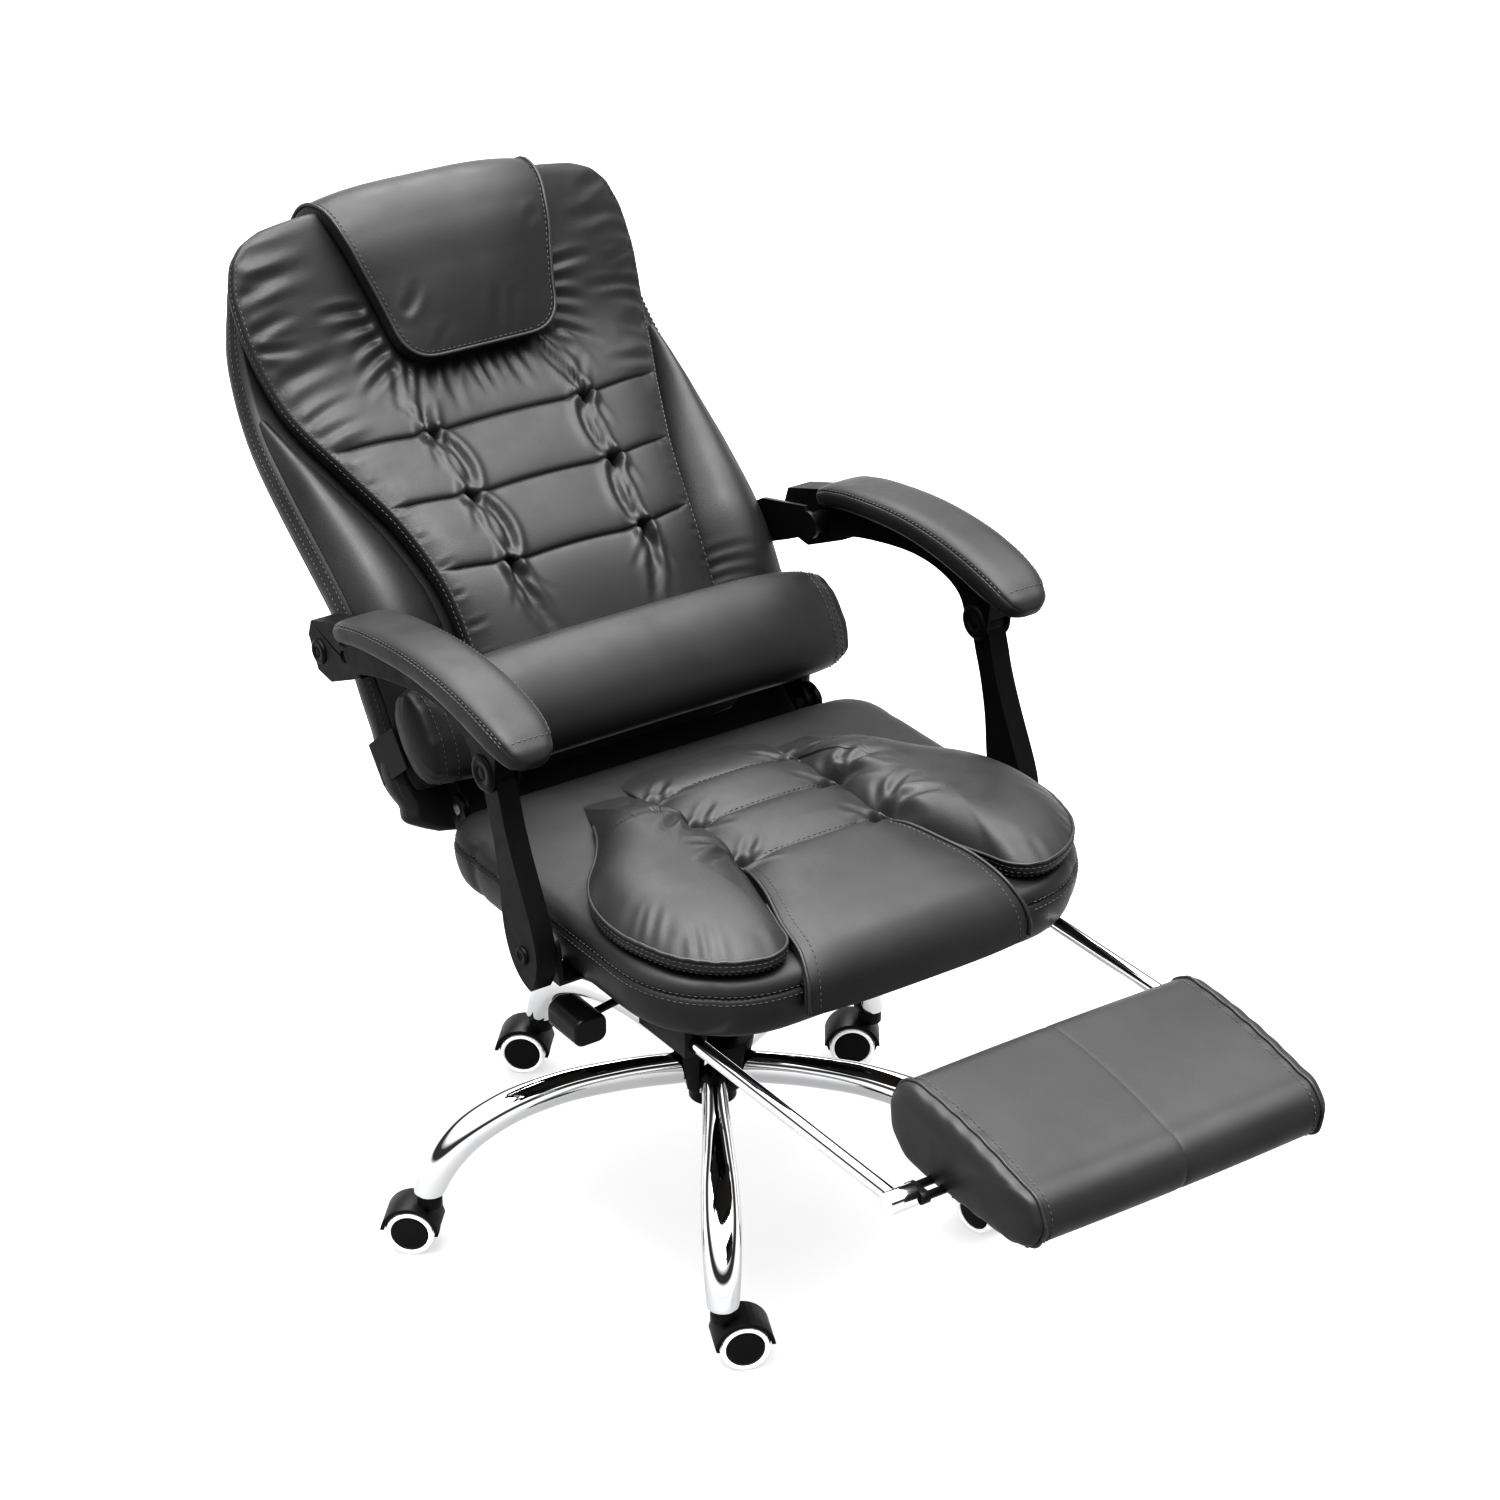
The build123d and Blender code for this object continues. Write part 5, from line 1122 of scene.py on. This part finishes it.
def star_hub():
    """Turned hub that the legs are welded to."""
    upper = ((hub_radius, hub_half - hub_edge), (hub_radius - hub_edge, hub_half), (hub_bore, hub_half))
    profile = [(radius, -rise) for radius, rise in reversed(upper)] + list(upper)
    grid = lathe(profile, (0, 0, leg_crown), (0, 0, 1), (1, 0, 0), (0, 1, 0), 64)
    skin("star_hub", grid, "base", chrome, ("base_star",))


for step, letter in enumerate("abcde"):
    star_leg(letter, math.radians(leg_turn + step * 360 / leg_count))
star_hub()

# Caster wheels: a pale tyre ring round a dished dark disc, which the profile's last column marks

wheel_profile = (  # radius, place along the axle, mark
    (0.0040, 0.0000, 1), (0.0170, 0.0000, 1), (0.0193, 0.0006, 1), (0.0196, 0.0006, 0), (0.0236, 0.0002, 0),
    (0.0248, 0.0016, 0), (0.0250, 0.0040, 0), (0.0250, 0.0120, 0), (0.0247, 0.0148, 0), (0.0238, 0.0162, 0),
    (0.0222, 0.0170, 0), (0.0207, 0.0168, 0), (0.0199, 0.0158, 0), (0.0196, 0.0148, 0), (0.0192, 0.0146, 1),
    (0.0184, 0.0158, 1), (0.0160, 0.0162, 1), (0.0080, 0.0163, 1), (0.0010, 0.0163, 1),
)
wheel_inner = 0.0034


def wheel(letter, word, away):
    """One caster wheel, lathed about its axle. away is the way it faces along the axle."""
    count = 72
    joint = joints[f"wheel_{letter}_{word}"]
    axis = away * Vector(joint["axis"])
    up = Vector((0, 0, 1))
    profile = [(radius, wheel_inner + along) for radius, along, mark in wheel_profile]
    grid = lathe(profile, joint["pos_m"], axis, axis.cross(up), up, count)
    marks = [mark for radius, along, mark in wheel_profile[1:] for _ in range(count)] + [1] * (2 * count)
    skin(f"wheel_{letter}_{word}_tyre", grid, f"wheel_{letter}_{word}", (tyre_plastic, black_plastic),
         (f"caster_wheel_{letter}_{word}",), marks=marks)


for letter in "abcde":
    wheel(letter, "near", 1)
    wheel(letter, "far", -1)

# Round caps on the pivots of the arms and struts, and shoulders under the pads' rear ends

cap_profile = (  # share of the radius, out
    (0.0010, 0.0022), (0.30, 0.0022), (0.34, 0.0014), (0.42, 0.0014), (0.46, 0.0026), (0.80, 0.0028),
    (0.94, 0.0020), (1.00, 0.0000), (1.00, -0.0030),
)
shoulder_corners = ((-0.0075, 0.031), (-0.0075, 0.008), (0.020, 0.010), (0.020, 0.026), (0.006, 0.025))
rear_cap, front_cap, strut_cap = 0.0135, 0.0185, 0.0095
rear_cap_back, rear_cap_drop = 0.050, 0.014
strut_blade = 0.011


def pivot_cap(name, centre, radius, away, body):
    """A moulded disc on a pivot, with a shallow ring recess, facing along X."""
    profile = [(share * radius, out) for share, out in cap_profile]
    grid = lathe(profile, centre, (away, 0, 0), (0, 1, 0), (0, 0, 1), 40)
    skin(name, grid, body, arm_plastic)


def arm_shoulder(name, rear, low, high, body):
    """Fills the frame's notch under the rear end of the pad."""
    outline = spread(shoulder_corners, 40, 1)
    middle = outline.mean(0)
    rows = []
    for x, share in ((low + 0.001, 0.05), (low + 0.001, 0.92), (low + 0.003, 1.0), (high - 0.002, 1.0),
                     (high - 0.0002, 0.94), (high - 0.0002, 0.05)):
        ring = middle + share * (outline - middle)
        rows.append(np.column_stack([np.full(len(ring), x), rear[1] - ring[:, 0], rear[2] + ring[:, 1]]))
    skin(name, np.array(rows), body, arm_plastic)


for side, word in sides:
    arm = f"arm_{word}"
    low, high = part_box(f"arm_frame_{word}")
    inner, outer = (low.x, high.x) if side > 0 else (high.x, low.x)
    rear = joints[arm]["pos_m"]
    foot = joints[f"strut_{word}"]["pos_m"]
    link = Vector(rear) - hinge
    front = (foot[1] + link.y, foot[2] + link.z)
    arm_shoulder(f"arm_shoulder_{word}", rear, low.x, high.x, arm)
    rear_place = (outer, rear[1] + rear_cap_back, rear[2] - rear_cap_drop)
    pivot_cap(f"arm_rear_cap_{word}", rear_place, rear_cap, side, arm)
    pivot_cap(f"arm_front_cap_{word}", (outer, *front), front_cap, side, arm)
    pivot_cap(f"arm_inner_cap_{word}", (inner, *front), front_cap, -side, arm)
    blade = (foot[0] + side * strut_blade, foot[1], foot[2])
    pivot_cap(f"strut_cap_{word}", blade, strut_cap, side, f"strut_{word}")

# Rigid pieces keep their CAD shape, with rounded edges

arm_edge, strut_edge, moulded_edge, steel_edge = 0.0020, 0.0050, 0.0012, 0.0008
weld_gap = 0.00002
sharp_angle = math.radians(38)


def soften_edges(names, width, segments=3):
    """Rounded edges on rigid CAD nodes, by modifiers alone."""
    for name in names:
        weld = nodes[name].modifiers.new("weld", "WELD")
        weld.merge_threshold = weld_gap
        edge = nodes[name].modifiers.new("edge", "BEVEL")
        edge.width = width
        edge.segments = segments
        edge.limit_method = "ANGLE"
        edge.angle_limit = sharp_angle
        edge.harden_normals = True


soften_edges(["arm_frame_left", "arm_frame_right"], arm_edge)
soften_edges(["strut_left", "strut_right"], strut_edge, 2)
soften_edges([f"caster_hood_{letter}" for letter in "abcde"], moulded_edge)
soften_edges(["hub_cover", "height_paddle", "rail_guides", "footrest_knuckles", "recline_lock"], moulded_edge)
soften_edges(["swivel_plate", "seat_hinge_plates", "strut_brackets", "back_hinge_plates", "arm_brackets",
              "recline_lever", "footrest_pivot_bars", "footrest_board", "seat_board"], steel_edge)

# Stage: white paper floor, soft lights and the camera of the photograph

floor_half = 14.0
floor_glow = 0.40


def floor_material():
    """Matt paper, lit a little from below like a light table."""
    material, tree, surface = shader("paper", 0.14, 0.95, Specular_IOR_Level=0.0)
    vary(tree, surface, "Base Color", pattern(tree, "Noise", 3.0), 0.138, 0.142)
    surface.inputs["Emission Color"].default_value = opaque(1)
    surface.inputs["Emission Strength"].default_value = floor_glow
    return material


floor_mesh = bpy.data.meshes.new("floor")
floor_corners = [(x * floor_half, y * floor_half, 0) for x, y in ((-1, -1), (1, -1), (1, 1), (-1, 1))]
floor_mesh.from_pydata(floor_corners, [], [(0, 1, 2, 3)])
floor_mesh.materials.append(floor_material())
floor = bpy.data.objects.new("floor", floor_mesh)
bpy.context.scene.collection.objects.link(floor)


def soft_light(name, place, target, size, power):
    """A square softbox that faces a point."""
    light = bpy.data.lights.new(name, "AREA")
    light.size = size
    light.energy = power
    lamp = bpy.data.objects.new(name, light)
    lamp.location = place
    lamp.rotation_euler = (Vector(target) - Vector(place)).to_track_quat("-Z", "Y").to_euler()
    bpy.context.scene.collection.objects.link(lamp)


soft_light("key", (-0.9, -0.6, 3.6), (0, -0.1, 0.5), 1.4, 60)
soft_light("rim", (1.2, 2.6, 2.8), (0, 0.3, 0.7), 1.2, 20)


def studio_world():
    """A bright ceiling and a pale horizon, with dark walls between."""
    world = bpy.data.worlds.new("studio")
    world.use_nodes = True
    tree = world.node_tree
    places = tree.nodes.new("ShaderNodeTexCoord")
    split = tree.nodes.new("ShaderNodeSeparateXYZ")
    tree.links.new(places.outputs["Generated"], split.inputs["Vector"])
    shade = tree.nodes.new("ShaderNodeValToRGB")
    stops = shade.color_ramp.elements
    stops[0].position, stops[0].color = 0.18, opaque(0.115)
    stops[1].position, stops[1].color = 0.92, opaque(1)
    for position, tone in ((0.26, 0.01), (0.42, 0.01), (0.72, 0.30)):
        stops.new(position).color = opaque(tone)
    tree.links.new(split.outputs["Z"], shade.inputs["Fac"])
    tree.links.new(shade.outputs["Color"], tree.nodes["Background"].inputs["Color"])
    tree.nodes["Background"].inputs["Strength"].default_value = 9.0
    return world


scene = bpy.context.scene
scene.world = studio_world()

camera_ahead = Vector((0.502, 0.732, -0.461))
camera = bpy.data.objects.new("camera", bpy.data.cameras.new("camera"))
camera.location = (-1.9825, -2.9597, 2.3710)
camera.rotation_euler = camera_ahead.to_track_quat("-Z", "Y").to_euler()
camera.data.lens = 96.56
camera.data.sensor_width = 36
scene.collection.objects.link(camera)
scene.camera = camera
scene.view_settings.view_transform = "Standard"
scene.view_settings.look = "Very High Contrast"
